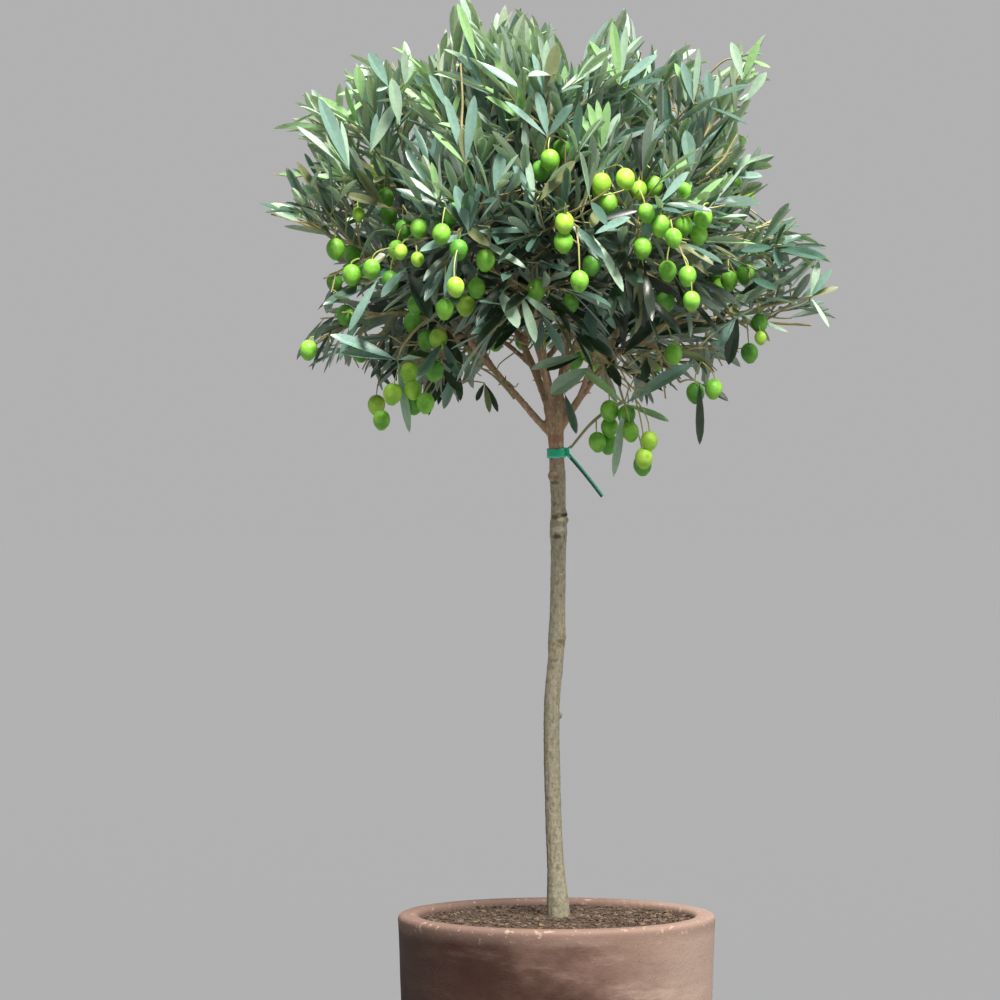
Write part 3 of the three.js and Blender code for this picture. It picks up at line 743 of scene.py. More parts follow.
# Darker and greyer towards the foot of the stem: partly the bark's own greyer colour low down, partly painted
# shade that tones down the light there
colour = blend(start, between(start, height, *LOW_SHADE_FROM) * 0.65, colour, BARK_LOW_SHADE)
complete(start, {
    "Base Color": colour,
    "Roughness": 0.85,
    "Normal": relief(start, mottle + 0.5 * wart, 0.0008),
})
wood.data.materials.append(bark)
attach(wood, "root")
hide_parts("stem", *("bough_" + name for name in limbs))


# The tie
# A flat green plastic garden tie, pulled round the stem under the fork and twisted shut on the right,
# where its stiff end is left long and points down.
TIE_HEIGHT = 0.760
TIE_WIDTH = 0.009
TIE_THICKNESS = 0.0011
TIE_AIR = 0.0008
TAIL_END = (0.0455, -0.013, 0.7165)
TAIL_WIDTH = 0.0036

tie_middle, _ = along(paths["stem"], 0.925)
tie_radius = float(np.interp(TIE_HEIGHT, paths["stem"][:, 2], radii["stem"])) + TIE_AIR
band = added(bpy.ops.mesh.primitive_cylinder_add, "green_tie", vertices=48, radius=tie_radius,
             depth=TIE_WIDTH, end_fill_type="NOTHING", location=(tie_middle[0], tie_middle[1], TIE_HEIGHT))
bpy.ops.object.mode_set(mode="EDIT")
level_cuts(TIE_HEIGHT + share * TIE_WIDTH for share in (-0.3, 0, 0.3))
for vertex in band.data.vertices:
    turn = math.atan2(vertex.co.y - tie_middle[1], vertex.co.x - tie_middle[0])
    vertex.co.z += 0.0009 * math.sin(turn + 0.6) + 0.0003 * math.sin(5 * turn)
settle(band, "SOLIDIFY", thickness=TIE_THICKNESS, offset=1)
settle(band, "BEVEL", width=0.0003, segments=2)


def strip(name, path, widths, thickness, twist):
    """A flat strip along a line, its face turned by the twist at each end."""
    corners, faces = [], []
    for step, place in enumerate(path):
        share = step / (len(path) - 1)
        _, way = along(path, share)
        side = unit(np.cross(way, (0, -1, 0)))
        face = np.cross(side, way)
        turn = lerp(twist, share)
        wide = (math.cos(turn) * side + math.sin(turn) * face) * lerp(widths, share) / 2
        thin = (math.cos(turn) * face - math.sin(turn) * side) * thickness / 2
        corners += [place + wide + thin, place - wide + thin, place - wide - thin, place + wide - thin]
    for step in range(len(path) - 1):
        first = 4 * step
        for i in range(4):
            j = (i + 1) % 4
            faces.append((first + j, first + i, first + i + 4, first + j + 4))
    last = 4 * (len(path) - 1)
    faces.extend([(0, 1, 2, 3), (last + 3, last + 2, last + 1, last)])
    return joined(name, corners, faces, [])


knot = np.array([tie_middle[0] + tie_radius + 0.0012, tie_middle[1] - 0.0015, TIE_HEIGHT + 0.002])
tail = strip("tie_tail", bent_path([knot - (0.004, 0, -0.002), knot + (0.006, -0.002, -0.007),
                                    (0.031, -0.014, 0.736), TAIL_END], 24),
             (TAIL_WIDTH, TAIL_WIDTH * 0.9), 0.0021, (-0.8, -0.9))
stub = strip("tie_stub", bent_path([knot - (0.004, 0.001, 0.001), knot + (0.003, -0.003, 0.002),
                                    knot + (0.0045, -0.004, 0.005)], 10),
             (TAIL_WIDTH, TAIL_WIDTH * 0.7), 0.0013, (0.4, 1.4))
wrap = []
for turn in range(2):
    wrap.append(added(bpy.ops.mesh.primitive_torus_add, "wrap", major_radius=0.0026, minor_radius=0.0011,
                      major_segments=24, minor_segments=8,
                      location=tuple(knot - (0.0012 * turn, 0, 0.0015 * turn)),
                      rotation=(math.radians(70), math.radians(25 * turn), math.radians(35))))
band = fused([band, tail, stub, *wrap])
smooth_up_to(band, 35)

TIE_GREEN = paint(24, 196, 150)
TIE_EDGE_HIGHLIGHT = paint(110, 226, 196)
TIE_SHADE_DARK = paint(30, 92, 72)


def scuffed(start, colour, roughness):
    scuff = grain(start, 380)
    complete(start, {
        "Base Color": colour,
        "Roughness": roughness + 0.25 * scuff,
        "Normal": relief(start, scuff, 0.0002),
    })


plastic, start = blank_finish("green tie plastic")
lift = own_place(start, "Z") - TIE_HEIGHT
# Painted highlight: the band's top and bottom edges are painted paler, as where light catches them
edge_highlight = between(start, lift * lift, (0.18 * TIE_WIDTH) ** 2, (0.55 * TIE_WIDTH) ** 2)
scuffed(start, blend(start, edge_highlight, TIE_GREEN, TIE_EDGE_HIGHLIGHT), 0.32)
# A darker copy of the tie plastic, painted shade for the tail's left faces
tail_shade_finish, start = blank_finish("tie plastic in painted shade")
scuffed(start, TIE_SHADE_DARK, 0.4)
band.data.materials.clear()
band.data.materials.append(plastic)
band.data.materials.append(tail_shade_finish)
# Painted shade: the tail's faces that look left are painted dark green for the shade they lie in
for face in band.data.polygons:
    if face.center.z < TIE_HEIGHT - 0.6 * TIE_WIDTH and face.normal.x < 0:
        face.material_index = 1
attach(band, "root")
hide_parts("tie")


# The twigs
# Each bough goes on as a main twig to the crown's outline, with side twigs that spiral up it and finer
# twigs on those. The first seven side twigs of each mass are the source's own, drawn from its seeds.
SEEDS = (1201, 13)
UNEVENNESS = 0.3
GOLDEN_ANGLE = math.pi * (3 - math.sqrt(5))
SOURCE_TWIGS = 7
EXTRA_TWIGS = 6
SOURCE_LEAF = 0.078
SOURCE_EXTENT = 0.86  # how far up a main twig the source's own ends
SIDE_TWIG_SHARES = (0.06, 0.84)
SIDE_TWIG_PITCHES = (math.radians(83), math.radians(40))
SIDE_TWIG_SHORTENING = (1.13, 0.81)
TWIG_LIFT = 0.3
FINE_TWIGS = 3
FINE_LENGTH = 0.55
FINE_PITCH = math.radians(48)
MAIN_RADII = (0.0024, 0.0012)
SIDE_RADII = (0.0014, 0.0008)
FINE_RADII = (0.0010, 0.0006)
INNER_SHARES = (0.46, 0.56, 0.66, 0.76, 0.86)  # where short twigs leave a bough inside the crown
INNER_LENGTH = 0.058
INNER_PITCH = math.radians(58)
CROWN_CENTRE = np.array([-0.005, 0, 0.985])
# The crown's outline from the front, with the dips between its sprays: sideways place and height
CROWN_OUTLINE = np.array([
    (-0.128, 1.140), (-0.124, 1.190), (-0.110, 1.176), (-0.102, 1.218), (-0.078, 1.208), (-0.073, 1.168),
    (-0.056, 1.200), (-0.028, 1.194), (-0.008, 1.184), (0.004, 1.158), (0.014, 1.138), (0.026, 1.146),
    (0.034, 1.178), (0.052, 1.202), (0.076, 1.202), (0.083, 1.166), (0.098, 1.164), (0.112, 1.152),
    (0.126, 1.170), (0.146, 1.162), (0.154, 1.134), (0.170, 1.146), (0.184, 1.166), (0.204, 1.180),
    (0.208, 1.150), (0.216, 1.134), (0.198, 1.108), (0.186, 1.080), (0.196, 1.060), (0.214, 1.054),
    (0.208, 1.024), (0.194, 1.002), (0.204, 0.986), (0.232, 1.006), (0.244, 0.984), (0.272, 0.968),
    (0.262, 0.932), (0.282, 0.888), (0.250, 0.900), (0.206, 0.884), (0.190, 0.852), (0.160, 0.836),
    (0.124, 0.828), (0.100, 0.806), (0.060, 0.800), (0.036, 0.826), (0.020, 0.848), (-0.020, 0.850),
    (-0.044, 0.866), (-0.070, 0.842), (-0.084, 0.812), (-0.124, 0.800), (-0.150, 0.806), (-0.176, 0.826),
    (-0.204, 0.838), (-0.256, 0.850), (-0.262, 0.864), (-0.240, 0.890), (-0.229, 0.924), (-0.238, 0.940),
    (-0.228, 0.974), (-0.290, 0.988), (-0.292, 1.010), (-0.256, 1.016), (-0.286, 1.042), (-0.248, 1.038),
    (-0.242, 1.056), (-0.264, 1.068), (-0.284, 1.090), (-0.256, 1.100), (-0.252, 1.126), (-0.226, 1.108),
    (-0.208, 1.146), (-0.190, 1.164), (-0.170, 1.146), (-0.152, 1.168), (-0.138, 1.152),
])
# Where a spray ends at the outline between the masses' own ends: sideways place, depth and height
PEAKS = [
    (-0.118, 0.020, 1.186), (-0.088, -0.030, 1.208), (-0.055, -0.010, 1.196), (-0.030, 0.030, 1.190),
    (-0.012, -0.020, 1.180), (0.044, -0.020, 1.192), (0.070, 0.010, 1.200), (0.126, 0.010, 1.166),
    (0.142, -0.030, 1.160), (0.200, -0.010, 1.176), (0.186, 0.020, 1.162), (0.212, 0.000, 1.132),
    (0.212, -0.020, 1.050), (0.234, 0.010, 1.002), (0.268, -0.010, 0.962), (-0.190, 0.010, 1.162),
    (-0.152, -0.020, 1.166), (-0.252, 0.000, 1.122), (-0.282, -0.020, 1.088), (-0.284, 0.000, 1.040),
    (-0.206, -0.030, 1.140), (-0.286, 0.010, 0.996), (0.160, -0.100, 1.120), (-0.150, -0.110, 1.120),
    (0.010, -0.120, 1.130), (0.080, -0.110, 1.140), (-0.080, -0.120, 1.140), (0.0, 0.100, 1.160),
    (0.100, 0.110, 1.150), (-0.120, 0.110, 1.140),
]
PEAK_REACH = 0.085  # how far inside the twig is that it starts from
PEAK_ROOM = 0.034  # what its end leaf takes
PEAK_BEND = 0.012
CROWN_DEPTH = 0.272
CROWN_POWER = 2.5
CELL_CENTRE = 0.55
CELL_SLACK = 0.014  # how far twigs may pass into the next mass's cell, and leaves
LEAF_SLACK = 0.02
WOOD_AIR = 0.0015
HANGING = -0.5  # a mass with less lift hangs, and stays open inside
MAIN_ROOT = 0.004  # how deep a main twig starts in its bough
FINE_SHARES = (0.3, 0.8)  # where they leave a side twig
UP = np.array([0.0, 0.0, 1.0])
MAIN, SIDE, FINE, INNER, PEAK, BARE = range(6)  # the orders of twigs
LEAFINESS = {"hanging_left": 0.5, "hanging_right": 0.2, "low_right": 0.5, "low_left": 0.7, "sprig_right": 0.7}
CUT_SHORT = {"hanging_left": 0.5, "hanging_right": 0.25, "low_right": 0.55}

# Sprays and bare twigs that show singly in front, in millimetres: a twig's points, sideways and up, with
# its depth, and a spray's node with its leaf tips, each with the leaf's width and shade
SHADED, GROWN, GREY, SILVERY, YOUNG, DRAB = range(6)
SINGLE_TWIGS = [
    (-80, 0.0019, [(12, 858), (26, 864), (43, 859), (58, 841), (64, 822), (68, 809)]),
    (-60, 0.0021, [(68, 812), (50, 802), (33, 788), (14, 765)]),
    (-92, 0.0020, [(96, 876), (121, 896), (160, 908), (189, 917)]),
    (-60, 0.0021, [(150, 893), (179, 899), (216, 908), (256, 917)]),
    (-10, 0.0016, [(-190, 962), (-214, 968), (-247, 989), (-286, 999)]),
    (-12, 0.0009, [(-246, 988), (-247, 1010), (-245, 1036), (-262, 1036), (-283, 1039)]),
    (-8, 0.0009, [(-247, 990), (-240, 1012), (-234, 1034)]),
    (-96, 0.0017, [(-120, 900), (-140, 884), (-154, 866), (-159, 853)]),
    (-20, 0.0013, [(-42, 814), (-50, 824), (-64, 838), (-84, 852), (-92, 874), (-100, 896)]),
    (-18, 0.0008, [(-58, 828), (-50, 832), (-42, 826), (-38, 830)]),
    (-30, 0.0009, [(-28, 868), (-50, 874), (-70, 868), (-84, 872), (-104, 868)]),
    (-26, 0.0008, [(-40, 862), (-56, 850), (-62, 842), (-78, 846)]),
    (-40, 0.0012, [(-10, 852), (-12, 872), (-16, 892)]),
    (-50, 0.0010, [(20, 856), (14, 870), (10, 896)]),
    (-44, 0.0009, [(52, 842), (60, 856), (58, 872), (72, 884)]),
    (-110, 0.0013, [(150, 1038), (167, 1054), (173, 1065), (181, 1079)]),
    (-200, 0.0017, [(-92, 1050), (-95, 1083), (-94, 1113), (-96, 1150)]),
]
SINGLE_SPRAYS = [
    (26, -88, 858, [(-26, 844, 1.2, SILVERY), (-10, 842, 1.2, SHADED)]),
    (34, -84, 846, [(-6, 818, 2.0, SILVERY)]),
    (66, -86, 858, [(67, 909, 0.9, SHADED), (104, 897, 1.4, SHADED)]),
    (68, -84, 809, [(25, 843, 1.0, YOUNG), (57, 736, 0.9, SILVERY), (136, 850, 1.5, GREY),
                    (113, 792, 0.9, YOUNG)]),
    (-159, -98, 853, [(-226, 880, 1.3, GREY), (-216, 862, 1.1, GREY), (-147, 780, 0.9, SILVERY),
                      (-126, 858, 0.9, SILVERY)]),
    (-88, -222, 980, [(-101, 1028, 1.3, GREY), (-80, 1031, 1.2, GROWN), (-36, 984, 0.6, SILVERY),
                      (-30, 943, 0.9, SILVERY), (-137, 961, 1.1, GREY), (-112, 1014, 0.8, GROWN)]),
    (45, -170, 1063, [(20, 1102, 0.9, YOUNG), (31, 1110, 0.9, YOUNG), (41, 1114, 0.8, YOUNG),
                      (52, 1112, 0.9, YOUNG), (64, 1100, 0.9, SILVERY), (10, 1078, 0.9, GREY)]),
    (36, -226, 978, [(68, 922, 1.1, SILVERY), (74, 996, 1.0, GREY)]),
    (-22, -222, 1008, [(20, 1052, 1.4, DRAB), (-44, 1050, 0.9, GREY), (-30, 1056, 0.8, SILVERY)]),
    (143, -88, 830, [(143, 768, 0.9, SHADED), (172, 812, 0.9, SHADED)]),
    (181, -64, 900, [(214, 872, 1.0, DRAB), (172, 848, 1.4, SHADED), (232, 880, 0.6, SILVERY),
                     (196, 934, 0.7, SILVERY), (160, 862, 1.0, GREY)]),
    (254, -60, 916, [(273, 886, 0.5, SILVERY), (282, 926, 0.8, DRAB), (262, 952, 0.8, SILVERY),
                     (275, 944, 0.8, GREY)]),
    (-150, -190, 945, [(-127, 893, 1.7, SHADED), (-176, 916, 1.0, GREY)]),
    (-178, -150, 935, [(-208, 882, 0.9, GREY)]),
    (-14, -150, 896, [(8, 858, 1.1, GREY), (-20, 862, 0.9, GROWN), (-60, 880, 1.0, SHADED)]),
    (34, -150, 913, [(32, 862, 1.6, GROWN), (60, 884, 0.9, GREY)]),
    (8, -20, 820, [(20, 779, 0.9, GROWN)]),
    (-100, -30, 846, [(-113, 804, 1.0, GREY), (-96, 812, 0.8, SHADED), (-128, 806, 0.9, SHADED)]),
    (104, -214, 1010, [(156, 1001, 1.0, GROWN), (84, 968, 1.1, GREY), (132, 1042, 0.9, GREY)]),
    (-60, -200, 926, [(-39, 884, 1.6, SILVERY), (-80, 886, 0.9, GREY)]),
    (-36, -190, 920, [(-21, 870, 1.1, SILVERY), (0, 892, 0.9, SILVERY)]),
    (-72, -36, 830, [(-67, 800, 0.7, DRAB), (-58, 801, 0.7, SHADED), (-80, 812, 0.6, SHADED)]),
    (-247, -14, 992, [(-262, 1022, 0.6, SHADED), (-254, 1032, 0.5, GREY), (-272, 1012, 0.5, GREY)]),
    (-236, -12, 1030, [(-252, 1060, 0.6, GREY), (-226, 1076, 0.7, GROWN)]),
    (-207, -126, 1043, [(-238, 1116, 1.45, GREY), (-230, 1084, 1.3, YOUNG), (-215, 1092, 0.6, SILVERY),
                        (-259, 1088, 0.8, SILVERY)]),
    (-186, -112, 1061, [(-161, 1110, 1.2, SILVERY), (-180, 1100, 0.7, GREY)]),
    (-157, -124, 1088, [(-165, 1135, 1.3, SILVERY)]),
    (-168, -106, 1126, [(-189, 1160, 1.4, GREY), (-180, 1122, 0.6, SILVERY)]),
    (-194, -94, 1113, [(-200, 1147, 1.2, YOUNG)]),
    (-152, -118, 1128, [(-152, 1164, 0.8, SILVERY), (-143, 1148, 0.7, SILVERY)]),
    (-80, -180, 1153, [(-39, 1125, 1.0, GREY), (-99, 1210, 1.0, YOUNG)]),
    (-11, -186, 1116, [(1, 1170, 1.4, DRAB), (-10, 1173, 0.8, SILVERY), (-24, 1160, 0.8, GREY)]),
    (-9, -202, 1076, [(-51, 1113, 0.8, GREY), (-20, 1122, 1.1, GREY), (16, 1110, 1.0, GROWN)]),
    (63, -150, 1128, [(56, 1192, 1.0, YOUNG), (70, 1188, 0.8, SILVERY), (101, 1158, 1.1, GREY),
                      (32, 1172, 0.9, YOUNG)]),
    (186, -60, 1133, [(203, 1173, 0.9, YOUNG), (174, 1171, 1.1, SILVERY)]),
    (191, -60, 1113, [(210, 1141, 1.1, SILVERY)]),
    (137, -98, 1109, [(142, 1165, 0.7, SILVERY), (125, 1152, 0.9, GREY), (118, 1150, 0.9, YOUNG)]),
    (154, -96, 1107, [(151, 1143, 1.1, GREY), (162, 1136, 0.7, SILVERY)]),
    (135, -190, 1042, [(129, 1083, 1.4, GREY)]),
    (177, -72, 1037, [(206, 1036, 1.0, GREY), (194, 1059, 0.8, SILVERY)]),
    (150, -150, 1012, [(204, 1009, 1.4, GROWN)]),
    (-91, -206, 1049, [(-82, 1118, 1.1, GREY), (-95, 1084, 1.0, DRAB), (-112, 1118, 1.0, GREY),
                       (-125, 1083, 0.7, YOUNG)]),
    (-110, -188, 1105, [(-128, 1138, 1.0, GREY)]),
    (-60, -226, 1012, [(-56, 1063, 1.3, GREY)]),
    (-117, -226, 1012, [(-125, 1051, 0.7, YOUNG), (-151, 1038, 0.7, SILVERY)]),
]

cell_centres = np.array([(1 - CELL_CENTRE) * np.array(limb["tip"]) + CELL_CENTRE * np.array(limb["reach"])
                         for limb in limbs.values()])
wood_places = np.vstack(list(paths.values()))
wood_radii = np.concatenate(list(radii.values()))


def at_depth(x, depth, z):
    """The place at that depth which the photograph's view shows at x and z, all in millimetres."""
    share = 1 + depth / 1000 / VIEW_DISTANCE
    return np.array([VIEW_X + (x / 1000 - VIEW_X) * share, depth / 1000,
                     VIEW_HEIGHT + (z / 1000 - VIEW_HEIGHT) * share])


def in_crown(places):
    """True inside the source's crown: its outline from the front, drawn in towards front and back."""
    depth = np.abs(places[:, 1]) / CROWN_DEPTH
    if (depth >= 1).any():
        return False
    shrink = (1 - depth**CROWN_POWER) ** (1 / CROWN_POWER)
    x, z = (CROWN_CENTRE[[0, 2]] + (places[:, [0, 2]] - CROWN_CENTRE[[0, 2]]) / shrink[:, None]).T
    crossed = np.zeros(len(x), int)
    for (x1, z1), (x2, z2) in zip(CROWN_OUTLINE, np.roll(CROWN_OUTLINE, -1, axis=0)):
        if z1 != z2:
            crossed += ((z1 > z) != (z2 > z)) & (x < x1 + (z - z1) * (x2 - x1) / (z2 - z1))
    return bool((crossed % 2 == 1).all())


def in_cell(places, own, slack=CELL_SLACK):
    """True if the places are nearer to the mass's own middle than to any other, or over it by the slack."""
    gaps = np.linalg.norm(places[:, None] - cell_centres[None], axis=2)
    between_middles = np.linalg.norm(cell_centres - cell_centres[own], axis=1)
    between_middles[own] = 1
    over = (gaps[:, own : own + 1] ** 2 - gaps**2) / (2 * between_middles)
    return bool((over < slack).all())


def clear_of_wood(places):
    gaps = np.linalg.norm(places[:, None] - wood_places[None], axis=2) - wood_radii[None]
    return bool((gaps > WOOD_AIR).all())


def turned_from(axis, pitch, angle):
    """A direction at the pitch from the axis, turned round it by the angle."""
    side = np.cross(axis, UP)
    side = unit(side) if side @ side > 0.01 else np.array([1.0, 0, 0])
    side = (side * math.cos(angle) + np.cross(axis, side) * math.sin(angle)
            + axis * (axis @ side) * (1 - math.cos(angle)))
    return axis * math.cos(pitch) + side * math.sin(pitch)


def uneven(draw):
    return 1 + UNEVENNESS * (next(draw) - 0.5)


twigs = []


def grow(path, radii, own=0, order=BARE, lift=0, leafy=0):
    """Adds a twig, with its mass's number, its order, how much its leaves rise and what share it bears."""
    twigs.append({"path": path, "radii": radii, "own": own, "order": order, "lift": lift, "leafy": leafy})


def straggling(root, heading, length, lift, steps):
    """The line of a twig that bends up, or down, towards its end."""
    tip = root + heading * length + UP * lift * TWIG_LIFT * length
    return bent_path([root, root + heading * length * 0.5, tip], steps)


for own, (name, limb) in enumerate(limbs.items()):
    draw = random_from(SEEDS[0] + SEEDS[1] * own)
    lift, leafy = limb["lift"], LEAFINESS.get(name, 1)
    tip, reach = np.array(limb["tip"]), np.array(limb["reach"])
    _, onward = along(paths[name], 1)
    end = reach + (tip - reach) * 0.3 * SOURCE_LEAF / np.linalg.norm(tip - reach)
    end = tip + (end - tip) * CUT_SHORT.get(name, 1)
    bend = tip + onward * np.linalg.norm(end - tip) / 2
    main = bent_path([tip - MAIN_ROOT * onward, bend, end], 16)
    grow(main, MAIN_RADII, own, MAIN, lift, leafy)
    phase = 2 * math.pi * next(draw)
    source_lengths = [uneven(draw) for _ in range(SOURCE_TWIGS)]
    for i in range(SOURCE_TWIGS + EXTRA_TWIGS):
        if i < SOURCE_TWIGS:
            up = i / (SOURCE_TWIGS - 1)
            factor, angle = source_lengths[i], phase + i * GOLDEN_ANGLE
        else:
            up = (i - SOURCE_TWIGS + 0.5) / (EXTRA_TWIGS - 0.3)
            factor, angle = uneven(draw), phase + (i + 2.4) * GOLDEN_ANGLE
        root, axis = along(main, lerp(SIDE_TWIG_SHARES, up) * SOURCE_EXTENT)
        heading = turned_from(axis, lerp(SIDE_TWIG_PITCHES, up), angle)
        length = limb["twig"] * lerp(SIDE_TWIG_SHORTENING, up) * factor
        path = straggling(root, heading, length, lift, 8)
        if not (in_crown(path) and in_cell(path[2:], own) and clear_of_wood(path[3:])):
            continue
        grow(path, SIDE_RADII, own, SIDE, lift, leafy)
        for j in range(FINE_TWIGS):
            share = lerp(FINE_SHARES, j / (FINE_TWIGS - 1))
            root, axis = along(path, share)
            heading = turned_from(axis, FINE_PITCH, angle + 1.1 + j * GOLDEN_ANGLE)
            fine_length = length * FINE_LENGTH * (1.15 - 0.5 * share) * uneven(draw)
            fine = straggling(root, heading, fine_length, lift + 0.2, 5)
            if in_crown(fine) and in_cell(fine[1:], own) and clear_of_wood(fine[1:]):
                grow(fine, FINE_RADII, own, FINE, lift, leafy)

    if lift < HANGING:
        continue
    for i, share in enumerate(INNER_SHARES):
        root, axis = along(paths[name], share)
        heading = turned_from(axis, INNER_PITCH, phase + i * GOLDEN_ANGLE)
        inner = straggling(root, heading, INNER_LENGTH, 1, 6)
        if in_crown(inner) and clear_of_wood(inner[3:]):
            grow(inner, FINE_RADII, own, INNER, 0.3, 1)

outer = [twig for twig in twigs if twig["order"] <= FINE]
spots = np.vstack([twig["path"][2:] for twig in outer])
owners = np.concatenate([[twig["own"]] * len(twig["path"][2:]) for twig in outer])
for peak in np.array(PEAKS):
    inward = unit(CROWN_CENTRE - peak)
    near = np.argmin(np.linalg.norm(spots - (peak + inward * PEAK_REACH), axis=1))
    end = peak + PEAK_ROOM * inward
    bend = (spots[near] + end) / 2 + PEAK_BEND * (UP - inward)
    grow(bent_path([spots[near], bend, end], 10), SIDE_RADII, owners[near], PEAK, 0.5, 1)
for depth, thickness, points in SINGLE_TWIGS:
    path = smooth_path([at_depth(x, depth, z) for x, z in points], 5)
    grow(path, (thickness, 0.6 * thickness))
single_leaves = []
for x, depth, z, tips in SINGLE_SPRAYS:
    node = at_depth(x, depth, z)
    near = spots[np.argmin(np.linalg.norm(spots - node - (0, 0.02, 0), axis=1))]
    bend = (near + node) / 2 + (0, 0, 0.006)
    grow(bent_path([near, bend, node], 6), FINE_RADII)
    for i, (tip_x, tip_z, breadth, shade) in enumerate(tips):
        leaf_tip = at_depth(tip_x, depth - 6 + 5 * (i % 3), tip_z)
        single_leaves.append((node, leaf_tip, breadth, shade))


def stem_tubes(lines, sides=5):
    """Thin round stalks along many lines, closed at both ends, as arrays of corners and faces."""
    corners, faces = [], []
    for path, thickness in lines:
        ways = np.gradient(path, axis=0)
        side = unit(np.cross(ways[0], UP + (0.1, 0.05, 0)))
        first = len(corners)
        for step, place in enumerate(path):
            way = unit(ways[step])
            side = unit(side - way * (side @ way))
            third = np.cross(way, side)
            radius = lerp(thickness, step / (len(path) - 1))
            for corner in range(sides):
                turn = 2 * math.pi * corner / sides
                corners.append(place + radius * (math.cos(turn) * side + math.sin(turn) * third))
        for step in range(len(path) - 1):
            for corner in range(sides):
                a = first + step * sides + corner
                b = first + step * sides + (corner + 1) % sides
                faces.append((a, b, b + sides, a + sides))
        last = len(corners) - sides
        faces.append(tuple(first + sides - 1 - i for i in range(sides)))
        faces.append(tuple(last + i for i in range(sides)))
    return corners, faces


TWIG_TAN = paint(182, 166, 116)
TWIG_GREEN = paint(150, 146, 100)
TWIG_NICK = paint(206, 194, 158)
twig_bark, start = blank_finish("young twig bark")
patch = grain(start, 90)
nick = grain(start, 700, detail=2)
colour = blend(start, between(start, patch, 0.35, 0.65), TWIG_TAN, TWIG_GREEN)
colour = blend(start, between(start, nick, 0.58, 0.7) * 0.6, colour, TWIG_NICK)
complete(start, {"Base Color": colour, "Roughness": 0.7, "Normal": relief(start, nick, 0.0003)})
corners, faces = stem_tubes([(twig["path"], twig["radii"]) for twig in twigs])
twig_piece = joined("twigs", corners, faces, [twig_bark], smooth_degrees=60)
foliage_nodes = ["foliage_" + name for name in limbs]
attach(twig_piece, "root")
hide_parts(*foliage_nodes)


# The olives
# Plump green drupes, single or in small bunches, hanging on thin stalks from the twigs. On the front
# they hang where the tree bears them, and elsewhere at seeded places.
OLIVE_LENGTH = 0.0208
OLIVE_WIDTH = 0.0178
STALK = 0.024
# The olives that show in front, in painted light, plain green and in painted shade: sideways place
# and height in millimetres
FRONT_OLIVES = [
    [(-198, 999), (-153, 960), (-142, 955), (-101, 926), (-91, 908), (-118, 874), (-164, 819),
     (-180, 808), (-144, 824), (8, 990), (45, 1029), (69, 1034), (82, 1023), (204, 875), (92, 770),
     (88, 757), (-147, 840)],
    [(-138, 985), (-160, 963), (-115, 979), (-221, 964), (-205, 938), (-185, 944), (-71, 953), (-80, 925),
     (-248, 863), (-175, 793), (-131, 810), (-7, 1052), (52, 1010), (7, 971), (-20, 923), (23, 932),
     (97, 1027), (128, 1023), (90, 1000), (104, 987), (117, 975), (127, 987), (146, 993), (143, 980),
     (86, 965), (111, 942), (131, 937), (135, 912), (174, 933), (117, 859), (157, 824), (53, 802),
     (53, 786), (41, 771), (74, 781), (-112, 904)],
    [(-171, 1015), (-168, 998), (-152, 983), (-106, 1000), (-204, 959), (-222, 931), (-166, 932),
     (-98, 963), (-130, 873), (-144, 891), (-141, 908), (-211, 898), (-196, 861), (-122, 842),
     (-142, 809), (5, 1063), (-15, 1043), (44, 1021), (14, 910), (35, 948), (109, 911), (188, 938),
     (203, 890), (139, 820), (52, 769), (70, 798), (86, 748), (193, 860)],
]
SMALL_OLIVES = [(-198, 999), (-153, 960), (-142, 955), (204, 875), (128, 1023)]
OLIVE_SETBACK = (-0.008, 0.0, 0.012)
FULL_OLIVE = 0.98
SMALL_OLIVE = 0.68
SEEDED_BUNCHES = 34
BACK_MIN = -0.02  # the least depth of the seeded ones, the furthest sideways and the lowest
BACK_SIDE = 0.2
BACK_LOW = 0.86
BUNCH_GAP = 0.0105
PUSHES = 60
PUSH = (0.15, 0.6, 0.15)
FRONT_PULL = 0.16  # how much a twig further forward counts as nearer


def as_seen(places):
    """Sideways place and height of places as the photograph's view shows them, in the stem's plane."""
    middle = np.array([VIEW_X, VIEW_HEIGHT])
    return middle + (places[:, [0, 2]] - middle) / (1 + places[:, 1:2] / VIEW_DISTANCE)


spots = np.vstack([twig["path"][2:] for twig in twigs])
seen = as_seen(spots)
olives = []
for olive_light, places in enumerate(FRONT_OLIVES):
    for x, z in places:
        away = np.hypot(*(seen - (x / 1000, z / 1000 + STALK)).T) + FRONT_PULL * (spots[:, 1] + 0.25)
        root = spots[np.argmin(away)]
        middle = at_depth(x, 1000 * (root[1] - 0.006 + OLIVE_SETBACK[olive_light]), z)
        olives.append([root, middle, olive_light, SMALL_OLIVE if (x, z) in SMALL_OLIVES else FULL_OLIVE])
front_count = len(olives)
draw = random_from(4057)
back_spots = spots[(spots[:, 1] > BACK_MIN) & (np.abs(spots[:, 0]) < BACK_SIDE) & (spots[:, 2] > BACK_LOW)]
for bunch in range(SEEDED_BUNCHES):
    root = back_spots[int(next(draw) * len(back_spots))]
    for i in range(1 + int(3 * next(draw))):
        turn, out = i * GOLDEN_ANGLE + bunch, BUNCH_GAP * math.sqrt(i)
        middle = root + (out * math.cos(turn), out * math.sin(turn), -STALK - 0.005 * i)
        olives.append([root, middle, (bunch + i) % 3, FULL_OLIVE])
middles = np.array([middle for _, middle, _, _ in olives])
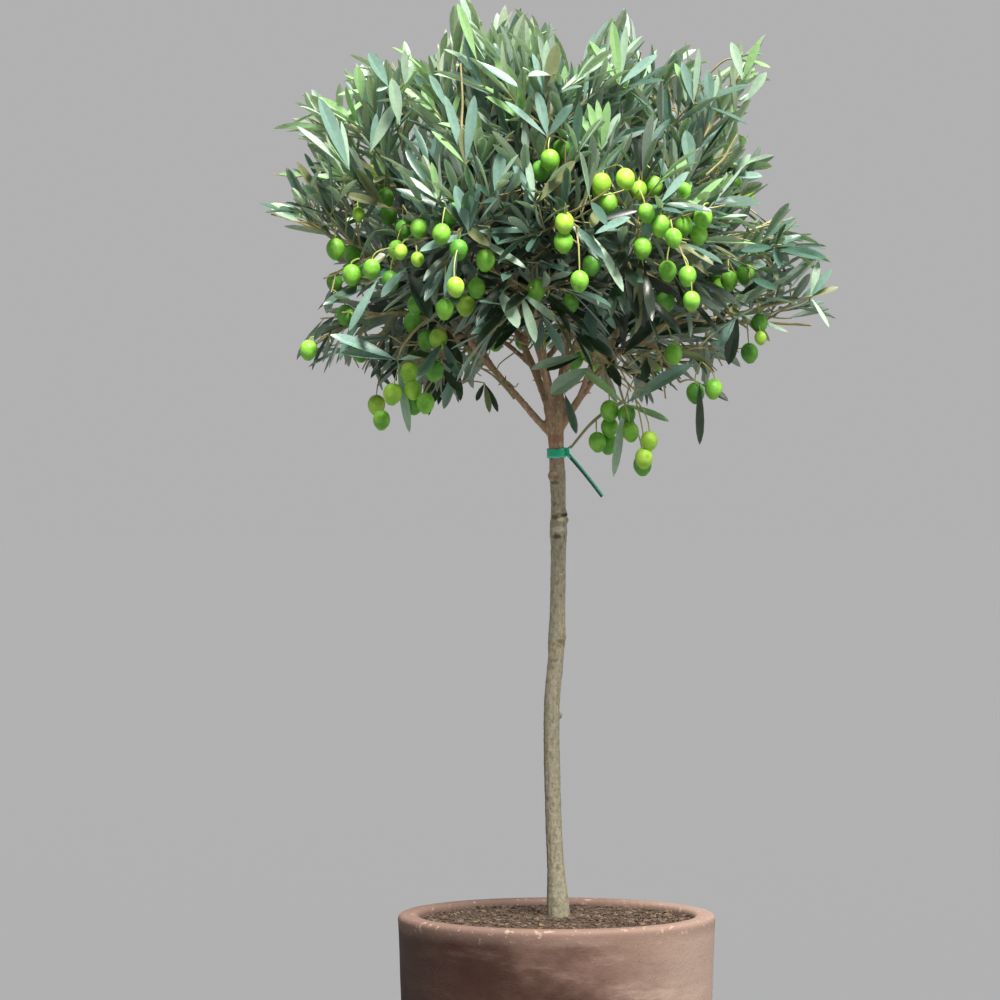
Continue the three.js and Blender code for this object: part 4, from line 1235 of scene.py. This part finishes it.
for _ in range(PUSHES):  # olives that touch push each other aside
    gaps = middles[:, None] - middles[None]
    far = np.linalg.norm(gaps, axis=2) + np.eye(len(middles))
    push = np.clip(FULL_OLIVE * OLIVE_WIDTH - far, 0, None) / far
    middles += PUSH * (gaps * push[:, :, None]).sum(1)

front_fruit = middles[:front_count]
fruit_seen = as_seen(front_fruit)

# Egg-shaped, with a dimple at the lower end
olive_corners, olive_faces = pattern(bpy.ops.mesh.primitive_uv_sphere_add, segments=14, ring_count=9,
                                     radius=1)
olive_corners *= (OLIVE_WIDTH / 2, OLIVE_WIDTH / 2, OLIVE_LENGTH / 2)
olive_corners[:, :2] *= (1 + 0.10 * olive_corners[:, 2:] / OLIVE_LENGTH)
olive_corners[:, 2] -= np.where(olive_corners[:, 2] < -0.45 * OLIVE_LENGTH, 0.0006, 0)

draw = random_from(91)
corners, faces, finish_of_face, stalk_lines = [], [], [], []
for (root, _, olive_light, size), middle in zip(olives, middles):
    lean = unit(UP + 0.35 * np.array([next(draw) - 0.5, next(draw) - 0.5, 0]) + 0.25 * unit(root - middle))
    side = unit(np.cross(lean, (0.3, 1, 0)))
    size *= 0.93 + 0.14 * next(draw)
    basis = np.array([side, np.cross(lean, side), lean])
    first = len(corners)
    corners.extend(middle + size * olive_corners @ basis)
    faces.extend(tuple(first + i for i in face) for face in olive_faces)
    finish_of_face.extend([olive_light] * len(olive_faces))
    crown_of_olive = middle + lean * size * OLIVE_LENGTH * 0.47
    hang = crown_of_olive + lean * 0.4 * np.linalg.norm(root - crown_of_olive)
    stalk_lines.append((bent_path([root, hang, crown_of_olive], 7), (0.0008, 0.0006)))

# One green skin in three copies: brightened by painted light, plain, and darkened by painted shade
OLIVE_SHADES = [  # name, light and dark green
    ("olive in painted light", paint(183, 226, 80), paint(146, 200, 58)),
    ("green olive", paint(142, 208, 70), paint(107, 174, 50)),
    ("shaded olive", paint(110, 180, 61), paint(82, 146, 46)),
]
OLIVE_DOTS = paint(190, 212, 120)
olive_finishes = []
for name, light_green, dark_green in OLIVE_SHADES:
    skin, start = blank_finish(name)
    cloud = grain(start, 90, detail=2)
    dots = grain(start, 1100, detail=1)
    colour = blend(start, between(start, cloud, 0.35, 0.65), light_green, dark_green)
    colour = blend(start, between(start, dots, 0.66, 0.74) * 0.45, colour, OLIVE_DOTS)
    complete(start, {
        "Base Color": colour,
        "Roughness": 0.4 + 0.15 * cloud,
        "Normal": relief(start, dots, 0.00015),
        "Subsurface Weight": 0.15,
        "Subsurface Radius": (0.004, 0.005, 0.001),
        "Subsurface Scale": 1.0,
    })
    olive_finishes.append(skin)
fruit = joined("olives", corners, faces, olive_finishes, finish_of_face, 60)
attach(fruit, "root")
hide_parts(*foliage_nodes)

STALK_LIGHT = paint(186, 184, 108)
STALK_DARK = paint(150, 160, 84)
stalk_green, start = blank_finish("olive stalk")
patch = grain(start, 300, detail=2)
colour = blend(start, patch, STALK_LIGHT, STALK_DARK)
complete(start, {"Base Color": colour, "Roughness": 0.6})
corners, faces = stem_tubes(stalk_lines)
stalks = joined("olive_stalks", corners, faces, [stalk_green], smooth_degrees=60)
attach(stalks, "root")
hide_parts(*foliage_nodes)


# The leaves
# Narrow leathery leaves in crossed pairs up every twig, with one at its end: dark grey-green above and
# silvery underneath, folded a little along the midrib. Each leaf is dealt one of a few shades by its spray's
# draw and its own, and by painted light: painted shade inside and low in the crown, painted light further out
# and higher up.
LEAF_LENGTH = 0.056
LEAF_WIDTH = 0.0098
LEAF_THICKNESS = 0.0008
LEAF_PITCH = math.radians(42)
LEAF_SPACING = (0.019, 0.0125, 0.0115, 0.013, 0.0115)  # on main, side, fine, inner and peak twigs
MAIN_BARE = 0.3  # the share of a twig that bears no leaves, from its root
SIDE_BARE = 0.12
LEAF_LIFT = 0.3
LEAF_RISE = 0.28  # how much more upright they stand in the top of the crown
LEAF_OUTLINE = [(0, 0.08), (0.06, 0.1), (0.2, 0.46), (0.4, 0.84), (0.62, 1), (0.8, 0.86), (0.93, 0.46)]
LEAF_FOLD = 0.44
LEAF_AIR = 0.0046
RIB_SHARES = (0.3, 0.5, 0.7, 0.86, 1)  # where along a leaf its room is tested
SINGLE_SHARES = (0.35, 0.55, 0.75)
LEAF_CURL = 0.22
SPRAY_TONE = 0.46  # what a leaf's tone takes from its spray's draw, its own, how far out and how high it is; the last two are painted light outside and at the top and painted shade inside and low down
LEAF_TONE = 0.24
OUTWARD_PAINTED_LIGHT = 0.9
UPWARD_PAINTED_LIGHT = 2.2
LIGHT_TONE = 0.62
YOUNG_SPRAYS = 0.66
DRAB_SHARE = 0.08
UNDERSIDE, PALE_UNDERSIDE = 6, 7  # these follow the six shades

profile = np.array(LEAF_OUTLINE)
leaf_faces = []
for row in range(len(profile) - 1):
    for i in range(4):
        j = (i + 1) % 4
        leaf_faces.append((4 * row + i, 4 * row + j, 4 * row + 4 + j, 4 * row + 4 + i))
last_row = 4 * (len(profile) - 1)
leaf_faces += [(last_row + i, last_row + (i + 1) % 4, last_row + 4) for i in range(4)]
leaf_faces.append((3, 2, 1, 0))
upper_faces = [i % 4 in (0, 1) for i in range(4 * len(profile))] + [False]


def leaf_corners(root, heading, face, length, width, curl):
    """The corners of one leaf, in fours from its stalk to its tip: left, upper rib, right, lower rib."""
    side = np.cross(heading, face)
    corners = []
    for share, breadth in profile:
        rib = root + heading * length * share - face * curl * length * share**2
        half = side * width * breadth / 2
        fold = face * LEAF_FOLD * width * breadth / 2
        thick = face * LEAF_THICKNESS / 2 * (1.1 - 0.6 * share)
        corners += [rib - half + fold, rib + thick, rib + half + fold, rib - thick]
    corners.append(root + heading * length - face * curl * length)
    return corners


def spray_leaves(twig, draw):
    """The leaves of one twig: root, heading, the twig's way there, and size."""
    path, lift = twig["path"], twig["lift"]
    length = np.linalg.norm(np.diff(path, axis=0), axis=1).sum()
    pairs = int(length / LEAF_SPACING[twig["order"]])
    phase = math.pi * next(draw)
    for pair in range(pairs):
        share = (pair + 1) / (pairs + 0.3)
        if share < (MAIN_BARE if twig["order"] == MAIN else SIDE_BARE):
            continue
        root, axis = along(path, share)
        for half_turn in (0, math.pi):
            angle = phase + pair * math.pi / 2 + half_turn
            pitch = LEAF_PITCH * (1.3 - 0.75 * share) * (0.8 + 0.4 * next(draw))
            droop = 0.5 * max(0, 1 - (root[2] - 0.8) / 0.2)
            rise = LEAF_RISE * min(max((root[2] - 1.0) / 0.12, 0), 1)
            heading = unit(turned_from(axis, pitch, angle) + UP * (LEAF_LIFT * (lift - 0.1) - droop + rise))
            size = (1.06 - 0.18 * share**2) * (0.8 + 0.36 * next(draw))
            if next(draw) < twig["leafy"]:
                yield root, heading, axis, size
    root, axis = along(path, 1)
    yield root, unit(turned_from(axis, 0.15, phase)), axis, 0.8 + 0.3 * next(draw)


taken = {}


def cell_of(place):
    return tuple(int(v // LEAF_AIR) for v in place)


def take(places):
    for place in places:
        taken.setdefault(cell_of(place), []).append(place)


def crowded(places):
    """True if another leaf lies within the air that each keeps round itself."""
    for place in places:
        a, b, c = cell_of(place)
        for i in (-1, 0, 1):
            for j in (-1, 0, 1):
                for k in (-1, 0, 1):
                    for other in taken.get((a + i, b + j, c + k), ()):
                        if np.sum((place - other) ** 2) < LEAF_AIR**2:
                            return True
    return False


def veils_fruit(places):
    """True if a leaf would lie close in front of the fruit that the tree bears on its front."""
    gaps = np.linalg.norm(as_seen(places)[:, None] - fruit_seen[None], axis=2)
    return bool(((gaps < 0.5 * OLIVE_WIDTH) & (places[:, None, 1] < front_fruit[None, :, 1])).any())


groups = {"front": ([], [], []), "back": ([], [], [])}


def add_leaf(root, heading, face, length, width, curl, shade):
    corners, faces, finish_of_face = groups["front" if root[1] < 0 else "back"]
    first = len(corners)
    corners.extend(leaf_corners(root, heading, face, length, width, curl))
    faces.extend(tuple(first + i for i in corner) for corner in leaf_faces)
    under = PALE_UNDERSIDE if shade in (GREY, SILVERY, YOUNG) else UNDERSIDE
    finish_of_face.extend(shade if upper else under for upper in upper_faces)


def shade_for(place, spray, draw):
    """A leaf's shade: by its spray, painted light out and up, painted shade within, and now and then drab."""
    out = np.linalg.norm(place - CROWN_CENTRE) / CROWN_DEPTH
    tone = SPRAY_TONE * spray + LEAF_TONE * next(draw) - 0.05
    tone = tone + OUTWARD_PAINTED_LIGHT * (out - 0.68) + UPWARD_PAINTED_LIGHT * (place[2] - 1.0)
    if tone > LIGHT_TONE:
        return YOUNG if spray > YOUNG_SPRAYS else SILVERY
    if next(draw) < DRAB_SHARE:
        return DRAB
    return int(np.clip(3.5 * tone - 0.1, SHADED, GREY))


draw = random_from(613)
for root, leaf_tip, breadth, shade in single_leaves:
    heading = unit(leaf_tip - root)
    length = np.linalg.norm(leaf_tip - root)
    look = np.array([0.3 * next(draw) - 0.05, -0.75, 0.6])
    face = unit(look - heading * (look @ heading))
    add_leaf(root, heading, face, length, LEAF_WIDTH * breadth, 0.08 * (next(draw) - 0.4), shade)
    take(root + share * (leaf_tip - root) for share in SINGLE_SHARES)
for twig in twigs:
    spray = next(draw)
    if twig["order"] == BARE:
        continue
    for root, heading, axis, size in spray_leaves(twig, draw):
        length = LEAF_LENGTH * size
        width = LEAF_WIDTH * (0.5 + 0.5 * size) * (0.9 + 0.2 * next(draw))
        curl = LEAF_CURL * (next(draw) - 0.35)
        inward = unit(axis + 0.55 * UP + 0.3 * (np.array([next(draw), next(draw), next(draw)]) - 0.5))
        face = unit(inward - heading * (inward @ heading))
        ribs = np.array([root + heading * length * share - face * curl * length * share * share
                         for share in RIB_SHARES])
        in_place = twig["order"] >= INNER or in_cell(ribs, twig["own"], LEAF_SLACK)
        if not (in_place and in_crown(ribs[:4]) and clear_of_wood(ribs)):
            continue
        to_fruit = np.linalg.norm(ribs[:, None] - middles[None], axis=2).min()
        if to_fruit < 0.6 * OLIVE_WIDTH or veils_fruit(ribs) or crowded(ribs[1:4]):
            continue
        take(ribs[1:4])
        add_leaf(root, heading, face, length, width, curl, shade_for(ribs[2], spray, draw))

# Shaded, grown, grey and silvery are one leaf colour stepped from painted shade to painted light, and the
# pale underside is the lit copy of the silver one; young and drab are leaf colours of their own
LEAF_SHADES = [  # name, colour, roughness
    ("shaded leaf", (27, 39, 29), 0.3),
    ("grown leaf", (68, 98, 86), 0.3),
    ("grey leaf", (116, 149, 136), 0.34),
    ("silvery leaf", (152, 180, 154), 0.42),
    ("young leaf", (130, 170, 112), 0.36),
    ("drab leaf", (112, 118, 82), 0.4),
    ("silver underside", (134, 152, 138), 0.7),
    ("pale underside", (172, 190, 162), 0.7),
]
leaf_finishes = []
for name, colour, roughness in LEAF_SHADES:
    leaf, start = blank_finish(name)
    bloom = grain(start, 260)
    vein = grain(start, 900, detail=2)
    lighter = paint(*(min(255, 1.22 * c) for c in colour))
    complete(start, {
        "Base Color": blend(start, between(start, bloom, 0.3, 0.7) * 0.3, paint(*colour), lighter),
        "Roughness": roughness + 0.15 * bloom,
        "Normal": relief(start, vein, 0.0001),
        "Coat Weight": 0.15,
        "Coat Roughness": 0.3,
        "Subsurface Weight": 0.12,
        "Subsurface Radius": (0.002, 0.004, 0.001),
        "Subsurface Scale": 1.0,
    })
    leaf_finishes.append(leaf)
for half, (corners, faces, finish_of_face) in groups.items():
    leaves = joined("leaves_" + half, corners, faces, leaf_finishes, finish_of_face, 40)
    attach(leaves, "root")
    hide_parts(*foliage_nodes)
